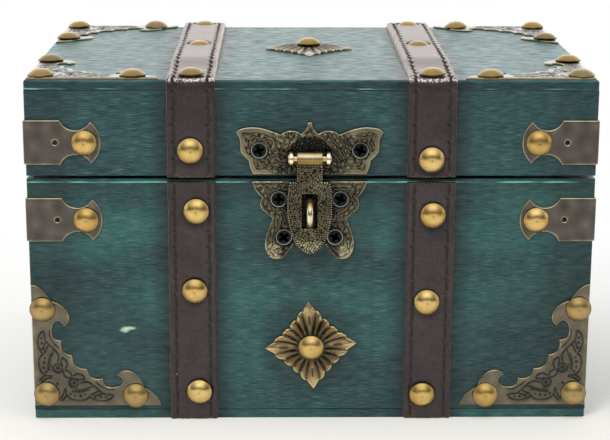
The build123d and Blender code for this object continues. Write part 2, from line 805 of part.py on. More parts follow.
# Hasp: a slotted tongue hanging from a barrel that turns on the latch pin
with BuildPart() as latch_hasp:
    with BuildSketch(on_front(latch_offset, latch_axis_z, hasp_back)):
        with BuildLine():
            shoulder = spread(hasp_side_shares, hasp_half_width, hasp_length)[0]
            Polyline((0, 0), (hasp_neck_half_width, 0), (hasp_neck_half_width, shoulder[1]), shoulder)
            Spline(*spread(hasp_side_shares, hasp_half_width, hasp_length))
            ThreePointArc(*spread(hasp_end_shares, hasp_half_width, hasp_length))
            mirror(about=Plane.YZ)
        make_face()
        with Locations((0, -slot_drop - slot_length / 2)):
            RectangleRounded(slot_width, slot_length, slot_corner, mode=Mode.SUBTRACT)
    extrude(amount=hasp_thickness)
    with BuildSketch(Plane.YZ.offset(latch_offset)):
        with Locations((latch_axis_y, latch_axis_z)):
            Circle(barrel_diameter / 2)
    extrude(amount=barrel_length / 2, both=True)
    with BuildSketch(Plane.YZ.offset(latch_offset)):
        with Locations((latch_axis_y, latch_axis_z)):
            Circle(latch_pin_diameter / 2 + running_clearance)
    extrude(amount=barrel_length / 2 + overrun, both=True, mode=Mode.SUBTRACT)
save(latch_hasp, "latch_hasp")


# Butt hinges: each leaf is a plate with knuckles round the pin
def hinge_leaf(centre, end, spans, bore, seats, name):
    plate_height = hinge_leaf_reach - hinge_leaf_gap
    with BuildPart() as leaf:
        with BuildSketch(on_back(centre, hinge_axis_z + end * (hinge_leaf_gap + plate_height / 2))):
            Rectangle(hinge_width, plate_height)
        extrude(amount=hinge_leaf_thickness)
        tab_y = half_depth + hinge_leaf_thickness / 2
        tab_z = hinge_axis_z + end * hinge_leaf_gap / 2
        for start, finish in spans:
            with BuildSketch(Plane.YZ.offset(centre + start)):
                with Locations((hinge_axis_y, hinge_axis_z)):
                    Circle(hinge_knuckle_diameter / 2)
                with Locations((tab_y, tab_z)):
                    Rectangle(hinge_leaf_thickness, hinge_leaf_gap)
            extrude(amount=finish - start)
        with BuildSketch(Plane.YZ.offset(centre)):
            with Locations((hinge_axis_y, hinge_axis_z)):
                Circle(bore)
        extrude(amount=hinge_width / 2 + overrun, both=True, mode=Mode.SUBTRACT)
        drill(hinge_screw_hole, seats)
    save(leaf, name)


middle_half = hinge_middle_knuckle / 2
outer_start = middle_half + hinge_knuckle_gap
hinge_pin_radius = hinge_pin_diameter / 2
for side, name in zip(ends, ("left", "right")):
    centre = side * hinge_x
    outer_spans = ((-hinge_width / 2, -outer_start), (outer_start, hinge_width / 2))
    middle_span = ((-middle_half, middle_half),)
    lid_bore = hinge_pin_radius + running_clearance
    hinge_leaf(centre, -1, outer_spans, hinge_pin_radius, hinge_seats(side, -1), f"hinge_base_leaf_{name}")
    hinge_leaf(centre, 1, middle_span, lid_bore, hinge_seats(side, 1), f"hinge_lid_leaf_{name}")
    with BuildPart() as hinge_pin:
        with BuildSketch(Plane.YZ.offset(centre)):
            with Locations((hinge_axis_y, hinge_axis_z)):
                Circle(hinge_pin_radius)
        extrude(amount=hinge_width / 2, both=True)
    save(hinge_pin, f"hinge_pin_{name}")

with BuildPart() as hinge_base_screws:
    plant(hinge_screw, base_hinge_seats)
save(hinge_base_screws, "hinge_base_screws")

with BuildPart() as hinge_lid_screws:
    plant(hinge_screw, lid_hinge_seats)
save(hinge_lid_screws, "hinge_lid_screws")
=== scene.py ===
import math
from collections import namedtuple

import bmesh
import bpy
import numpy as np
from mathutils import Matrix, Vector
from mathutils.geometry import delaunay_2d_cdt
from mathutils.kdtree import KDTree


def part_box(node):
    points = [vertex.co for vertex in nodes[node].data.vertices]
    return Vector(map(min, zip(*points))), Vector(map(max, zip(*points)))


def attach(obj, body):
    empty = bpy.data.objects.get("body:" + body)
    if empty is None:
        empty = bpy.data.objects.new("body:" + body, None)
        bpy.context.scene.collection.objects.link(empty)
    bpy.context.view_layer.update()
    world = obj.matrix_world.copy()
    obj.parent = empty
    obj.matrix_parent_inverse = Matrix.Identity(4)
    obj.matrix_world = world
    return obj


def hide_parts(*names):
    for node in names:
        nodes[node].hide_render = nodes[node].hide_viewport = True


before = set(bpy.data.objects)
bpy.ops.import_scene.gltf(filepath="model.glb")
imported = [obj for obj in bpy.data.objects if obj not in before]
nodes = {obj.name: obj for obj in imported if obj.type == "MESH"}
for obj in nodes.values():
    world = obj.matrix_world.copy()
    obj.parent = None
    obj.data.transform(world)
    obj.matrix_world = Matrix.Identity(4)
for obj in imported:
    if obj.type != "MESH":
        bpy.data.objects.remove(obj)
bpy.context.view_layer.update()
mm = 0.001
front = Vector((0, -1, 0))
top = Vector((0, 0, 1))
bothSides = ((-1, "left"), (1, "right"))
cornerSpot = namedtuple("cornerSpot", "x y z")
print("frame loaded:", len(nodes), "CAD nodes")


# a CAD node's box in millimetres, as its low and high corners
def boxOf(name):
    return [cornerSpot(*(value / mm for value in corner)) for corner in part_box(name)]


def middleOf(name):
    return cornerSpot(*((low + high) / 2 for low, high in zip(*boxOf(name))))


woodLow, woodHigh = boxOf("base_bottom_panel")
lidHigh = boxOf("lid_top_panel")[1]
rimZ = boxOf("base_front_panel")[1].z
halfWidth = woodHigh.x


# sRGB hex to linear RGBA
def linear(hexColour):
    channels = [int(hexColour[place:place + 2], 16) / 255 for place in (1, 3, 5)]
    return [c / 12.92 if c <= 0.04045 else ((c + 0.055) / 1.055) ** 2.4 for c in channels] + [1.0]


# feeds a node's inputs, in order or by key: each is a value, a socket, or a node whose live output is meant
def feed(tree, node, inputs):
    for key, value in (inputs if isinstance(inputs, dict) else dict(enumerate(inputs))).items():
        if isinstance(value, bpy.types.Node):
            value = next(output for output in value.outputs if output.enabled)
        if isinstance(value, bpy.types.NodeSocket):
            tree.links.new(value, node.inputs[key])
        else:
            node.inputs[key].default_value = value


# adds one node with its settings and links: a shader node's kind comes without its prefix, and a ramp is a
# list of (place, hex colour)
def addNode(tree, kind, inputs=(), ramp=(), **settings):
    node = tree.nodes.new(kind if "Node" in kind else "ShaderNode" + kind)
    for name, value in settings.items():
        setattr(node, name, value)
    feed(tree, node, inputs)
    if ramp:
        elements = node.color_ramp.elements
        while len(elements) < len(ramp):
            elements.new(0.5)
        for element, (place, colour) in zip(elements, ramp):
            element.position = place
            element.color = linear(colour)
    return node


# a material with its shader, its constants set on the shader's own sockets, and millimetre coordinates
def newMaterial(name, **constants):
    material = bpy.data.materials.new(name)
    material.use_nodes = True
    tree = material.node_tree
    shader = tree.nodes["Principled BSDF"]
    for socket, value in constants.items():
        shader.inputs[socket.replace("_", " ")].default_value = value
    place = addNode(tree, "TexCoord")
    size = addNode(tree, "Mapping", {"Vector": place.outputs["Object"], "Scale": [1 / mm] * 3})
    return material, tree, shader, size


def newObject(name, data):
    piece = bpy.data.objects.new(name, data)
    bpy.context.collection.objects.link(piece)
    return piece


def shadeSmooth(mesh, sharpAngle):
    mesh.polygons.foreach_set("use_smooth", [True] * len(mesh.polygons))
    mesh.set_sharp_from_angle(angle=math.radians(sharpAngle))


def meshObject(name, points, faces, material, sharpAngle=40):
    mesh = bpy.data.meshes.new(name)
    mesh.from_pydata([tuple(point) for point in points], [], [tuple(face) for face in faces])
    shadeSmooth(mesh, sharpAngle)
    mesh.materials.append(material)
    return newObject(name, mesh)


def addAttribute(piece, name, values):
    values = np.asarray(values, np.float32)
    kind, field = ("FLOAT_VECTOR", "vector") if values.ndim > 1 else ("FLOAT", "value")
    piece.data.attributes.new(name, kind, "POINT").data.foreach_set(field, values.ravel())


# bare points, with edges between them, that each know which way is out
def seatObject(name, places, facings, edges=()):
    mesh = bpy.data.meshes.new(name)
    mesh.from_pydata([tuple(place) for place in places], list(edges), [])
    piece = newObject(name, mesh)
    addAttribute(piece, "facing", facings)
    return piece


def finishPiece(piece, body, slot, *replaced):
    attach(piece, body)
    if replaced:
        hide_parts(*replaced)


# smooth step from 0 to 1 between two values, also on arrays
def ease(value, start, end):
    share = np.clip((value - start) / (end - start), 0, 1)
    return share * share * (3 - 2 * share)


# rises over one range of a value and falls over a later one
def between(value, rise, fall):
    return ease(value, *rise) * (1 - ease(value, *fall))


# a soft line: 1 where a distance is nothing, almost 0 two widths away
def softLine(away, width, power=2):
    return np.exp(-(np.abs(away) / width) ** power)


# adds up a surface's fields by their weights, over the tone of its ground
def toned(weights, **fields):
    return weights["ground"] + sum(weights[name] * field for name, field in fields.items())


# Camera, as the photograph was taken: sizes in millimetres and degrees
camera = {"place": (-13.326, -715.161, 247.793), "pitch": 14.483, "yaw": 0.962, "roll": -0.216,
          "lens": 100.86, "sensor": 36.0}
pitch, yaw, roll = (math.radians(camera[key]) for key in ("pitch", "yaw", "roll"))
aim = Vector((math.sin(yaw) * math.cos(pitch), math.cos(yaw) * math.cos(pitch), -math.sin(pitch)))
level = Vector((math.cos(yaw), -math.sin(yaw), 0))
down = aim.cross(level)
rightward = math.cos(roll) * level + math.sin(roll) * down
downward = math.cos(roll) * down - math.sin(roll) * level
lens = bpy.data.cameras.new("camera")
lens.sensor_width = camera["sensor"]
lens.lens = camera["lens"]
eye = newObject("camera", lens)
eye.matrix_world = Matrix((rightward, -downward, -aim)).transposed().to_4x4()
eye.matrix_world.translation = Vector(camera["place"]) * mm
bpy.context.scene.camera = eye
bpy.context.scene.view_settings.view_transform = "Standard"
print("camera placed")


# Stained wood: thin teal stain brushed along the grain under a satin varnish. The eye sees fine short pale
# streaks over a darker ground, blue-grey patches where the stain pooled, painted shade in dark clouds round
# the metalwork and beside the straps, and bare mint lines where an edge has rubbed. Lengths are in
# millimetres.
stain = {
    "tones": ((0.12, "#13383A"), (0.5, "#23504E"), (0.9, "#346662")), "streak": "#6C9F98",
    # shade is painted shade, and the cut edge's darker stain; hole is the painted shade inside a nail hole
    "pooled": "#1B353C", "rubbed": "#79CDB8", "bare": "#C5E8CE", "shade": "#131F25", "hole": "#07090A",
    # each layer's length along the grain, its width across it and its detail
    "streaks": (6.0, 0.2, 3), "fibres": (3.0, 0.2, 3), "patches": (52.8, 19.2, 3), "bands": (40.0, 1.0, 4),
    "varnish": (6.0, 1.8, 6),
    # which stretch of a layer shows a tone, and how strongly at its two ends
    "pooledOn": (0.46, 0.7), "pooledMost": 0.65, "streakOn": (0.5, 0.76, 0.0, 0.58),
    "hairOn": (0.3, 0.7, 0.64, 1.38), "rubbedOn": (-0.05, 0.3, 0.0, 0.9), "chipOn": (-0.3, 0.45, 0.85, 0.0),
    "glossOn": (0.38, 0.6, 0.15, 0.85), "patchShare": (-1.2, 0.83), "bandShare": 0.5, "chipTear": -1.4,
    # how deep an outer face reaches, how far a strap shades it, and a cloud's soft edge in half-sizes
    "skin": (1.0, 0.2), "strapShade": (-0.5, 9.0), "strapDark": 0.75, "cloudEdge": (0.8, 1.25),
    "footHeight": (7.0, 11.0), "footAside": (60.0, 74.0), "rubWidth": 0.42, "rubLength": 14.0,
    "rubHeight": 2.5, "rubBreak": (-0.08, 0.16), "holeEdge": (0.8, 1.05), "relief": 0.15, "bump": 0.4,
}
strapMiddle = middleOf("base_front_strap_right").x
strapHalf = boxOf("base_front_strap_right")[1].x - strapMiddle


def stainedWood(name, grain, rubbedAt=None, chips=(), holes=(), rubShare=0.5, blue=0.0, bands=(), shadeClouds=(),
                footShade=0.0):
    material, tree, shader, size = newMaterial(
        name, Roughness=0.5, Specular_IOR_Level=0.25, Coat_Roughness=0.3, Coat_IOR=1.38)
    layers = []
    for layer in ("streaks", "fibres", "patches", "bands", "varnish"):
        length, width, detail = stain[layer]
        spread = addNode(tree, "Mapping", {
            "Vector": size, "Scale": [1 / (length if way == grain else width) for way in "XYZ"]})
        layers.append(addNode(tree, "TexNoise", {"Vector": spread, "Scale": 1, "Detail": detail}))
    streaks, fibres, patches, brushed, varnish = layers
    # a cloth has rubbed the stain paler in broad clouds
    clouds = addNode(tree, "Math", (patches, *stain["patchShare"]), operation="MULTIPLY_ADD")
    uneven = addNode(tree, "Math", (brushed, stain["bandShare"], clouds), operation="MULTIPLY_ADD")
    colour = addNode(tree, "ValToRGB", (uneven,), stain["tones"])
    pooled = addNode(tree, "MapRange", (patches, *stain["pooledOn"], blue, stain["pooledMost"]))
    lines = addNode(tree, "MapRange", (streaks, *stain["streakOn"]))
    for share, tone in ((pooled, "pooled"), (lines, "streak")):
        colour = addNode(tree, "Mix", {0: share, 6: colour, 7: linear(stain[tone])}, data_type="RGBA")
    hairs = addNode(tree, "MapRange", (fibres, *stain["hairOn"]))
    colour = addNode(tree, "Mix", {0: 1.0, 6: colour, 7: hairs}, data_type="RGBA", blend_type="MULTIPLY")
    x, y, z = addNode(tree, "SeparateXYZ", (size,)).outputs
    aside = addNode(tree, "Math", (x,), operation="ABSOLUTE")
    onFront = addNode(tree, "CombineXYZ", (aside, z))
    onFlank = addNode(tree, "CombineXYZ", (y, z))

    # how far a place lies from a middle, counted in half-sizes
    def away(place, middle, halfSize):
        moved = addNode(tree, "Mapping", {"Vector": place, "Scale": [1 / half for half in halfSize],
                                          "Location": [-at / half for at, half in zip(middle, halfSize)]})
        return addNode(tree, "VectorMath", (moved,), operation="LENGTH")

    stains = []
    if grain == "X":
        # painted shade with pooled stain: the wood is darker against the straps, on the outer faces alone
        gap = addNode(tree, "Math", (aside, strapMiddle), operation="SUBTRACT")
        off = addNode(tree, "Math", (gap,), operation="ABSOLUTE")
        near, far = (strapHalf + reach for reach in stain["strapShade"])
        shade = addNode(tree, "MapRange", (off, near, far, stain["strapDark"], 0.0),
                        interpolation_type="SMOOTHSTEP")
        deep = addNode(tree, "Math", (y,), operation="ABSOLUTE")
        onWall = addNode(tree, "MapRange", (deep, *(woodHigh.y - depth for depth in stain["skin"])))
        onTop = addNode(tree, "MapRange", (z, *(lidHigh.z - depth for depth in stain["skin"])))
        outside = addNode(tree, "Math", (onWall, onTop), operation="MAXIMUM")
        stains.append((addNode(tree, "Math", (shade, outside), operation="MULTIPLY"), "shade"))
    for low, high, lowShare, highShare, fade in bands:
        band = addNode(tree, "MapRange", (z, low, high, lowShare, highShare), interpolation_type=fade)
        stains.append((band, "shade"))
    for spot, height, halfX, halfZ, depth in shadeClouds:
        # painted shade: a soft dark cloud round the metalwork and along the board's ends
        reach = away(onFront, (spot, height, 0), (halfX, halfZ, 1))
        cloud = addNode(tree, "MapRange", (reach, *stain["cloudEdge"], depth, 0.0),
                        interpolation_type="SMOOTHSTEP")
        stains.append((cloud, "shade"))
    if footShade:
        # and below the corner plates
        low = addNode(tree, "MapRange", (z, *stain["footHeight"], footShade, 0.0))
        outer = addNode(tree, "MapRange", (aside, *stain["footAside"]))
        stains.append((addNode(tree, "Math", (low, outer), operation="MULTIPLY"), "shade"))
    if rubbedAt:
        # a broken pale line along the board, where the lid closes on it or hands lift it
        rubScale = [1 / stain[key] for key in ("rubLength", "rubLength", "rubHeight")]
        spread = addNode(tree, "Mapping", {"Vector": size, "Scale": rubScale})
        broken = addNode(tree, "TexNoise", {"Vector": spread, "Scale": 1, "Detail": 5})
        gap = addNode(tree, "Math", (z, rubbedAt), operation="SUBTRACT")
        off = addNode(tree, "Math", (gap,), operation="ABSOLUTE")
        start, end = (rubShare + more for more in stain["rubBreak"])
        width = addNode(tree, "MapRange", (broken, start, end, 0.0, stain["rubWidth"]))
        near = addNode(tree, "Math", (width, off), operation="SUBTRACT")
        stains.append((addNode(tree, "MapRange", (near, *stain["rubbedOn"])), "rubbed"))
    for middle, halfSize in chips:
        # a chip where the stain has come off, torn along the grain
        reach = away(size, middle, halfSize)
        torn = addNode(tree, "Math", (streaks, stain["chipTear"], reach), operation="MULTIPLY_ADD")
        stains.append((addNode(tree, "MapRange", (torn, *stain["chipOn"])), "bare"))
    for onSide, spot, height in holes:
        # an empty nail hole seen through the one in a bracket, painted black: the shade inside it
        reach = away(onFlank if onSide else onFront, (spot, height, 0), (1, 1, 1))
        stains.append((addNode(tree, "MapRange", (reach, *stain["holeEdge"], 1.0, 0.0)), "hole"))
    for share, tone in stains:
        colour = addNode(tree, "Mix", {0: share, 6: colour, 7: linear(stain[tone])}, data_type="RGBA")
    height = addNode(tree, "Math", (fibres, streaks), operation="ADD")
    bump = addNode(tree, "Bump", {
        "Strength": stain["bump"], "Distance": stain["relief"] * mm, "Height": height})
    # the varnish lies thin and thick along the grain, so a grazing light finds fine silky streaks
    gloss = addNode(tree, "MapRange", (varnish, *stain["glossOn"]))
    feed(tree, shader, {"Base Color": colour, "Normal": bump, "Coat Normal": bump, "Coat Weight": gloss})
    return material


# Strap leather: chrome-tanned, dyed dark brown and finished with wax. The eye sees a fine pebble grain with a
# waxy bloom, which pales when the light grazes it, darker sewn rows, and scuffs where it bends over an edge.
# Its pale flecks are also painted glints and sheen, and its holes are painted black, the shade inside them.
leather = {"tones": ((0.32, "#1F1718"), (0.68, "#352628")), "sewn": "#2C2422", "scuffAndGlintTone": "#D2C8BE",
           "bloom": "#FFDEC8", "hole": "#0A0708", "pebble": 0.8, "patch": 12.0, "specksPerMm": 1.3,
           "grainOn": (0.3, 0.7, 0.7, 1.4), "scuffAndGlintOn": (1.12, 1.32), "waxOn": (0.35, 0.6, 0.7, 1.0),
           "roughness": (0.42, 0.8), "relief": 0.2, "bump": 0.45}


def strapLeather():
    material, tree, shader, size = newMaterial(
        "waxed strap leather", IOR=1.33, Coat_IOR=1.4, Coat_Roughness=0.25, Sheen_Weight=0.8,
        Sheen_Roughness=0.3, Sheen_Tint=linear(leather["bloom"]))
    patches = addNode(tree, "TexNoise", {"Vector": size, "Scale": 1 / leather["patch"], "Detail": 5})
    colour = addNode(tree, "ValToRGB", (patches,), leather["tones"])
    pebbles = addNode(tree, "TexVoronoi", {"Vector": size, "Scale": 1 / leather["pebble"]})
    specks = addNode(tree, "TexNoise", {"Vector": size, "Scale": leather["specksPerMm"], "Detail": 4})
    grain = addNode(tree, "MapRange", (specks, *leather["grainOn"]))
    colour = addNode(tree, "Mix", {0: 1.0, 6: colour, 7: grain}, data_type="RGBA", blend_type="MULTIPLY")
    sewn, pricked, wornAndGlinting = (addNode(tree, "Attribute", attribute_name=name).outputs["Fac"]
                           for name in ("seam", "hole", "wear"))
    # pale flecks: scuffs, painted glints along the sewn rows and at the bend, and painted sheen on the long
    # edges
    torn = addNode(tree, "Math", (specks, wornAndGlinting), operation="ADD")
    scuffAndGlint = addNode(tree, "MapRange", (torn, *leather["scuffAndGlintOn"]))
    for share, tone in ((sewn, "sewn"), (pricked, "hole"), (scuffAndGlint, "scuffAndGlintTone")):
        colour = addNode(tree, "Mix", {0: share, 6: colour, 7: linear(leather[tone])}, data_type="RGBA")
    feed(tree, shader, {
        "Base Color": colour,
        "Roughness": addNode(tree, "MapRange", (sewn, 0.0, 1.0, *leather["roughness"])),
        "Coat Weight": addNode(tree, "MapRange", (specks, *leather["waxOn"])),
        "Normal": addNode(tree, "Bump", {
            "Strength": leather["bump"], "Distance": leather["relief"] * mm, "Height": pebbles})})
    return material


# Metals: each has a patina. The piece's own "relief" attribute is 0 in its hollows and 1 on its raised parts,
# so the hollows stay dark and what is handled is rubbed bright. The three tones are those of hollow, flat and
# raised parts, and the grain is the size of its specks in millimetres.
# On some pieces the relief also carries painted shade and painted highlights, named where they are made.
patina = {"blotch": 9.0, "blotchShare": 0.3, "relief": 0.1, "toneAt": (0.08, 0.5, 0.92),
          "speckOn": (0.3, 0.7, 0.86, 1.1), "speckRelief": (0.3, 0.75), "roughOn": (0.1, 0.9),
          "roughMore": (0.15, -0.08)}


def patinaMetal(name, tones, roughness, grain, bumpStrength=0.15, relief=True, lacquer=0.0):
    material, tree, shader, size = newMaterial(name, Metallic=1.0, Coat_Weight=lacquer, Coat_Roughness=0.22)
    blotches = addNode(tree, "TexNoise", {"Vector": size, "Scale": 1 / patina["blotch"], "Detail": 5})
    specks = addNode(tree, "TexNoise", {"Vector": size, "Scale": 1 / grain, "Detail": 3})
    if relief:
        source = addNode(tree, "Attribute", attribute_name="relief").outputs["Fac"]
    else:
        source = addNode(tree, "MapRange", (specks, 0.0, 1.0, *patina["speckRelief"]))
    rubbed = addNode(tree, "Math", (blotches, patina["blotchShare"], source), operation="MULTIPLY_ADD")
    even = addNode(tree, "Math", (rubbed, patina["blotchShare"] / 2), operation="SUBTRACT")
    colour = addNode(tree, "ValToRGB", (even,), list(zip(patina["toneAt"], tones)))
    tint = addNode(tree, "MapRange", (specks, *patina["speckOn"]))
    colour = addNode(tree, "Mix", {0: 1.0, 6: colour, 7: tint}, data_type="RGBA", blend_type="MULTIPLY")
    dull, bright = (roughness + more for more in patina["roughMore"])
    feed(tree, shader, {
        "Base Color": colour,
        "Roughness": addNode(tree, "MapRange", (even, *patina["roughOn"], dull, bright)),
        "Normal": addNode(tree, "Bump", {
            "Strength": bumpStrength, "Distance": patina["relief"] * mm, "Height": specks})})
    return material


# Stamped brass nail: a thin lacquered dome. The eye sees a mirror gone soft, a little darker in its pits.
# the rim tone is painted shade, darker towards the dome's rim
nailBrass = {"tones": ((0.15, "#A0906C"), (0.6, "#CCA962"), (1.0, "#F3D690")), "pit": "#6E5326",
             "rim": "#2E2414", "pitSize": 1.1, "pitOn": (0.27, 0.34, 0.75, 0.0), "cloudSize": 4.0,
             "cloudShare": 0.5, "roughOn": (0.2, 1.0, 0.36, 0.22), "relief": 0.1, "bump": 0.25}


def domeBrass():
    material, tree, shader, size = newMaterial("stamped dome brass", Metallic=1.0)
    tone, rim = (addNode(tree, "Attribute", attribute_name=name).outputs["Fac"] for name in ("tone", "rim"))
    pits = addNode(tree, "TexNoise", {
        "Vector": size, "Scale": 1 / nailBrass["pitSize"], "Detail": 4, "Roughness": 0.6})
    clouds = addNode(tree, "TexNoise", {"Vector": size, "Scale": 1 / nailBrass["cloudSize"], "Detail": 3})
    mixed = addNode(tree, "Math", (clouds, nailBrass["cloudShare"], tone), operation="MULTIPLY_ADD")
    colour = addNode(tree, "ValToRGB", (mixed,), nailBrass["tones"])
    spots = addNode(tree, "MapRange", (pits, *nailBrass["pitOn"]))
    for share, shade in ((spots, "pit"), (rim, "rim")):
        colour = addNode(tree, "Mix", {0: share, 6: colour, 7: linear(nailBrass[shade])}, data_type="RGBA")
    feed(tree, shader, {
        "Base Color": colour,
        "Roughness": addNode(tree, "MapRange", (mixed, *nailBrass["roughOn"])),
        "Normal": addNode(tree, "Bump", {
            "Strength": nailBrass["bump"], "Distance": nailBrass["relief"] * mm, "Height": pits})})
    return material


# Sewing thread: twisted and waxed. The eye sees dull dark cord with a fine ply, one in every 0.22 mm.
thread = {"tones": ((0.0, "#262021"), (1.0, "#3F3738")), "plyScale": 1.4}


def waxedThread():
    material, tree, shader, size = newMaterial("waxed sewing thread", Roughness=0.85, Specular_IOR_Level=0.25)
    ply = addNode(tree, "TexWave", {"Vector": size, "Scale": thread["plyScale"]})
    colour = addNode(tree, "ValToRGB", (ply,), thread["tones"])
    feed(tree, shader, {"Base Color": colour})
    return material


# flat grey-brown sheet, blackened and wiped, with a thin pale line where its cut edges are rubbed
plateBronze = patinaMetal(
    "wiped antique bronze sheet", ("#322E2B", "#68615B", "#BDAC88"), 0.4, 0.5, lacquer=0.5)
# olive brown under a glossy lacquer, black in its engraving
cornerBronze = patinaMetal(
    "stamped antique bronze", ("#1C1D1B", "#6B6451", "#B7A779"), 0.32, 0.5, lacquer=0.8)
# black worm tracks between rubbed straw-coloured ridges
latchBronze = patinaMetal(
    "cast antique bronze", ("#121311", "#66614D", "#CEC39F"), 0.38, 0.5, lacquer=0.25)
# warm leaves, rubbed golden towards their tips
starBronze = patinaMetal(
    "pressed antique bronze", ("#1D1812", "#756240", "#D6BD86"), 0.28, 0.5, lacquer=0.5)
# the same leaves, paler and greyer on the lid's top: a painted sheen for the light that grazes it
topSheenBronze = patinaMetal(
    "pressed dull bronze", ("#3B342C", "#766A58", "#B3A48A"), 0.36, 0.5, lacquer=0.9)
# a clean pale gold mirror
brightBrass = patinaMetal(
    "polished brass wire", ("#A98C48", "#CDB172", "#EFDFB4"), 0.19, 1.6, 0.03, relief=False)
# nearly white where a painted highlight lies on it, dark where painted shade does
litCastBrass = patinaMetal("polished cast brass", ("#1B1712", "#A48A52", "#FFF4DC"), 0.24, 1.2, 0.03)
# dead black with a bare grey rim
screwBlack = patinaMetal("black oxide screw steel", ("#040405", "#2C2E32", "#C9CAC6"), 0.42, 0.4)
# an even satin gold
hingeBrass = patinaMetal("plated hinge brass", ("#5A4724", "#A98B4C", "#D9BE80"), 0.34, 0.8, relief=False)
# plain grey wire
plainSteel = patinaMetal("bright drawn steel", ("#4D4D4C", "#8E8E8C", "#BDBDBA"), 0.35, 0.7, relief=False)
nailFinish = domeBrass()
strapFinish = strapLeather()
threadFinish = waxedThread()


def dressNode(name, finish):
    nodes[name].data.materials.clear()
    nodes[name].data.materials.append(finish)


for name in nodes:
    if "leaf" in name:
        dressNode(name, hingeBrass)
    if "panel_pins" in name or "hinge_pin" in name:
        dressNode(name, plainSteel)
print("materials made:", len(bpy.data.materials))


# a merged copy of a CAD node's mesh, to read its shape from
def mergedCopy(name):
    shape = bmesh.new()
    shape.from_mesh(nodes[name].data)
    bmesh.ops.remove_doubles(shape, verts=shape.verts, dist=1e-6)
    shape.normal_update()
    return shape


# quads between rings of points that lie one after another, from a first index on
def bridge(first, rings, sides):
    faces = []
    for ring in range(rings - 1):
        for side in range(sides):
            a, b = first + ring * sides + side, first + ring * sides + (side + 1) % sides
            faces.append((a, a + sides, b + sides, b))
    return faces


# a closed skin of rings between two poles, the first and the last point
def polarMesh(name, points, sides, material):
    last = len(points) - 1
    faces = bridge(1, (last - 1) // sides, sides)
    for side in range(sides):
        following = (side + 1) % sides
        faces += [(0, 1 + side, 1 + following), (last, last - sides + following, last - sides + side)]
    return meshObject(name, points, faces, material)


# a solid of revolution round Z, from (radius, height) points in millimetres that start and end on the axis
def lathe(name, profile, material, sides=32):
    points = [(0, 0, profile[0][1] * mm)]
    for radius, height in profile[1:-1]:
        for turn in np.arange(sides) * 2 * math.pi / sides:
            points.append((radius * mm * math.cos(turn), radius * mm * math.sin(turn), height * mm))
    points.append((0, 0, profile[-1][1] * mm))
    return polarMesh(name, points, sides, material)


# a closed tube through rings of points in millimetres, with flat ends and its faces turned outwards
def tubeMesh(name, rings, material, sharpAngle=40):
    sides = len(rings[0])
    last = (len(rings) - 1) * sides
    faces = [face[::-1] for face in bridge(0, len(rings), sides)]
    faces += [reversed(range(sides)), range(last, last + sides)]
    piece = meshObject(name, np.vstack(rings) * mm, faces, material, sharpAngle)
    shape = bmesh.new()
    shape.from_mesh(piece.data)
    bmesh.ops.recalc_face_normals(shape, faces=shape.faces)
    shape.to_mesh(piece.data)
    shape.free()
    return piece


# Fasteners: their seats come from the CAD solids, one point for each, facing out of the box
def seatsOf(names, headHeight):
    places = []
    facings = []
    middle = [(low + high) / 2 * mm for low, high in zip(woodLow, lidHigh)]
    for name in names:
        shape = mergedCopy(name)
        left = set(shape.verts)
        while left:
            island = [left.pop()]
            for vert in island:
                for edge in vert.link_edges:
                    other = edge.other_vert(vert)
                    if other in left:
                        left.remove(other)
                        island.append(other)
            spots = np.array([vert.co for vert in island])
            low, high = spots.min(0), spots.max(0)
            sizes = high - low
            axis = int(np.argmax(np.abs(sizes - np.median(sizes))))
            place = (low + high) / 2
            outward = 1 if place[axis] > middle[axis] else -1
            place[axis] = (high if outward > 0 else low)[axis] - outward * headHeight * mm
            facing = np.zeros(3)
            facing[axis] = outward
            places.append(place)
            facings.append(facing)
        shape.free()
    places = np.array(places)
    order = np.lexsort(np.round(places / mm, 1).T)
    return places[order], np.array(facings)[order]


# starts a tree that sets copies of a shape on points, and gives its inputs and the way each point faces
def startTree(name, **kinds):
    tree = bpy.data.node_groups.new(name, "GeometryNodeTree")
    for socket, kind in {**kinds, "Shape": "Object", "Finish": "Material", "Seed": "Int"}.items():
        tree.interface.new_socket(socket, in_out="INPUT", socket_type="NodeSocket" + kind)
    tree.interface.new_socket("Made", in_out="OUTPUT", socket_type="NodeSocketGeometry")
    facing = addNode(tree, "GeometryNodeInputNamedAttribute", {"Name": "facing"}, data_type="FLOAT_VECTOR")
    return tree, addNode(tree, "NodeGroupInput").outputs, facing


# ends it: each copy is turned a little in its seat, and all become real geometry with their finish
def endTree(tree, given, points, seat, turn):
    asRotation = addNode(tree, "FunctionNodeEulerToRotation", (turn,))
    turned = addNode(tree, "FunctionNodeRotateRotation", (seat, asRotation), rotation_space="LOCAL")
    shape = addNode(tree, "GeometryNodeObjectInfo", {"Object": given["Shape"]})
    planted = addNode(tree, "GeometryNodeInstanceOnPoints", {
        "Points": points, "Instance": shape.outputs["Geometry"], "Rotation": turned})
    whole = addNode(tree, "GeometryNodeRealizeInstances", (planted,))
    dressed = addNode(tree, "GeometryNodeSetMaterial", {"Geometry": whole, "Material": given["Finish"]})
    addNode(tree, "NodeGroupOutput", (dressed,))
    return tree


# fasteners stand out of their seats, spun at random and leaning a little
def fastenerTree():
    tree, given, facing = startTree("plant fasteners", Seats="Geometry", Lean="Float")
    seat = addNode(tree, "FunctionNodeAlignRotationToVector", {"Vector": facing}, axis="Z")
    leftLean = addNode(tree, "Math", (given["Lean"], -1.0), operation="MULTIPLY")
    nextSeed = addNode(tree, "Math", (given["Seed"], 11.0), operation="ADD")
    leanX, leanY = (addNode(tree, "FunctionNodeRandomValue", {2: leftLean, 3: given["Lean"], "Seed": seed})
                    for seed in (given["Seed"], nextSeed))
    spin = addNode(tree, "FunctionNodeRandomValue", {2: 0.0, 3: 2 * math.pi, "Seed": given["Seed"]})
    turn = addNode(tree, "CombineXYZ", (leanX, leanY, spin))
    points = addNode(tree, "GeometryNodeMeshToPoints", {"Mesh": given["Seats"]})
    return endTree(tree, given, points, seat, turn)


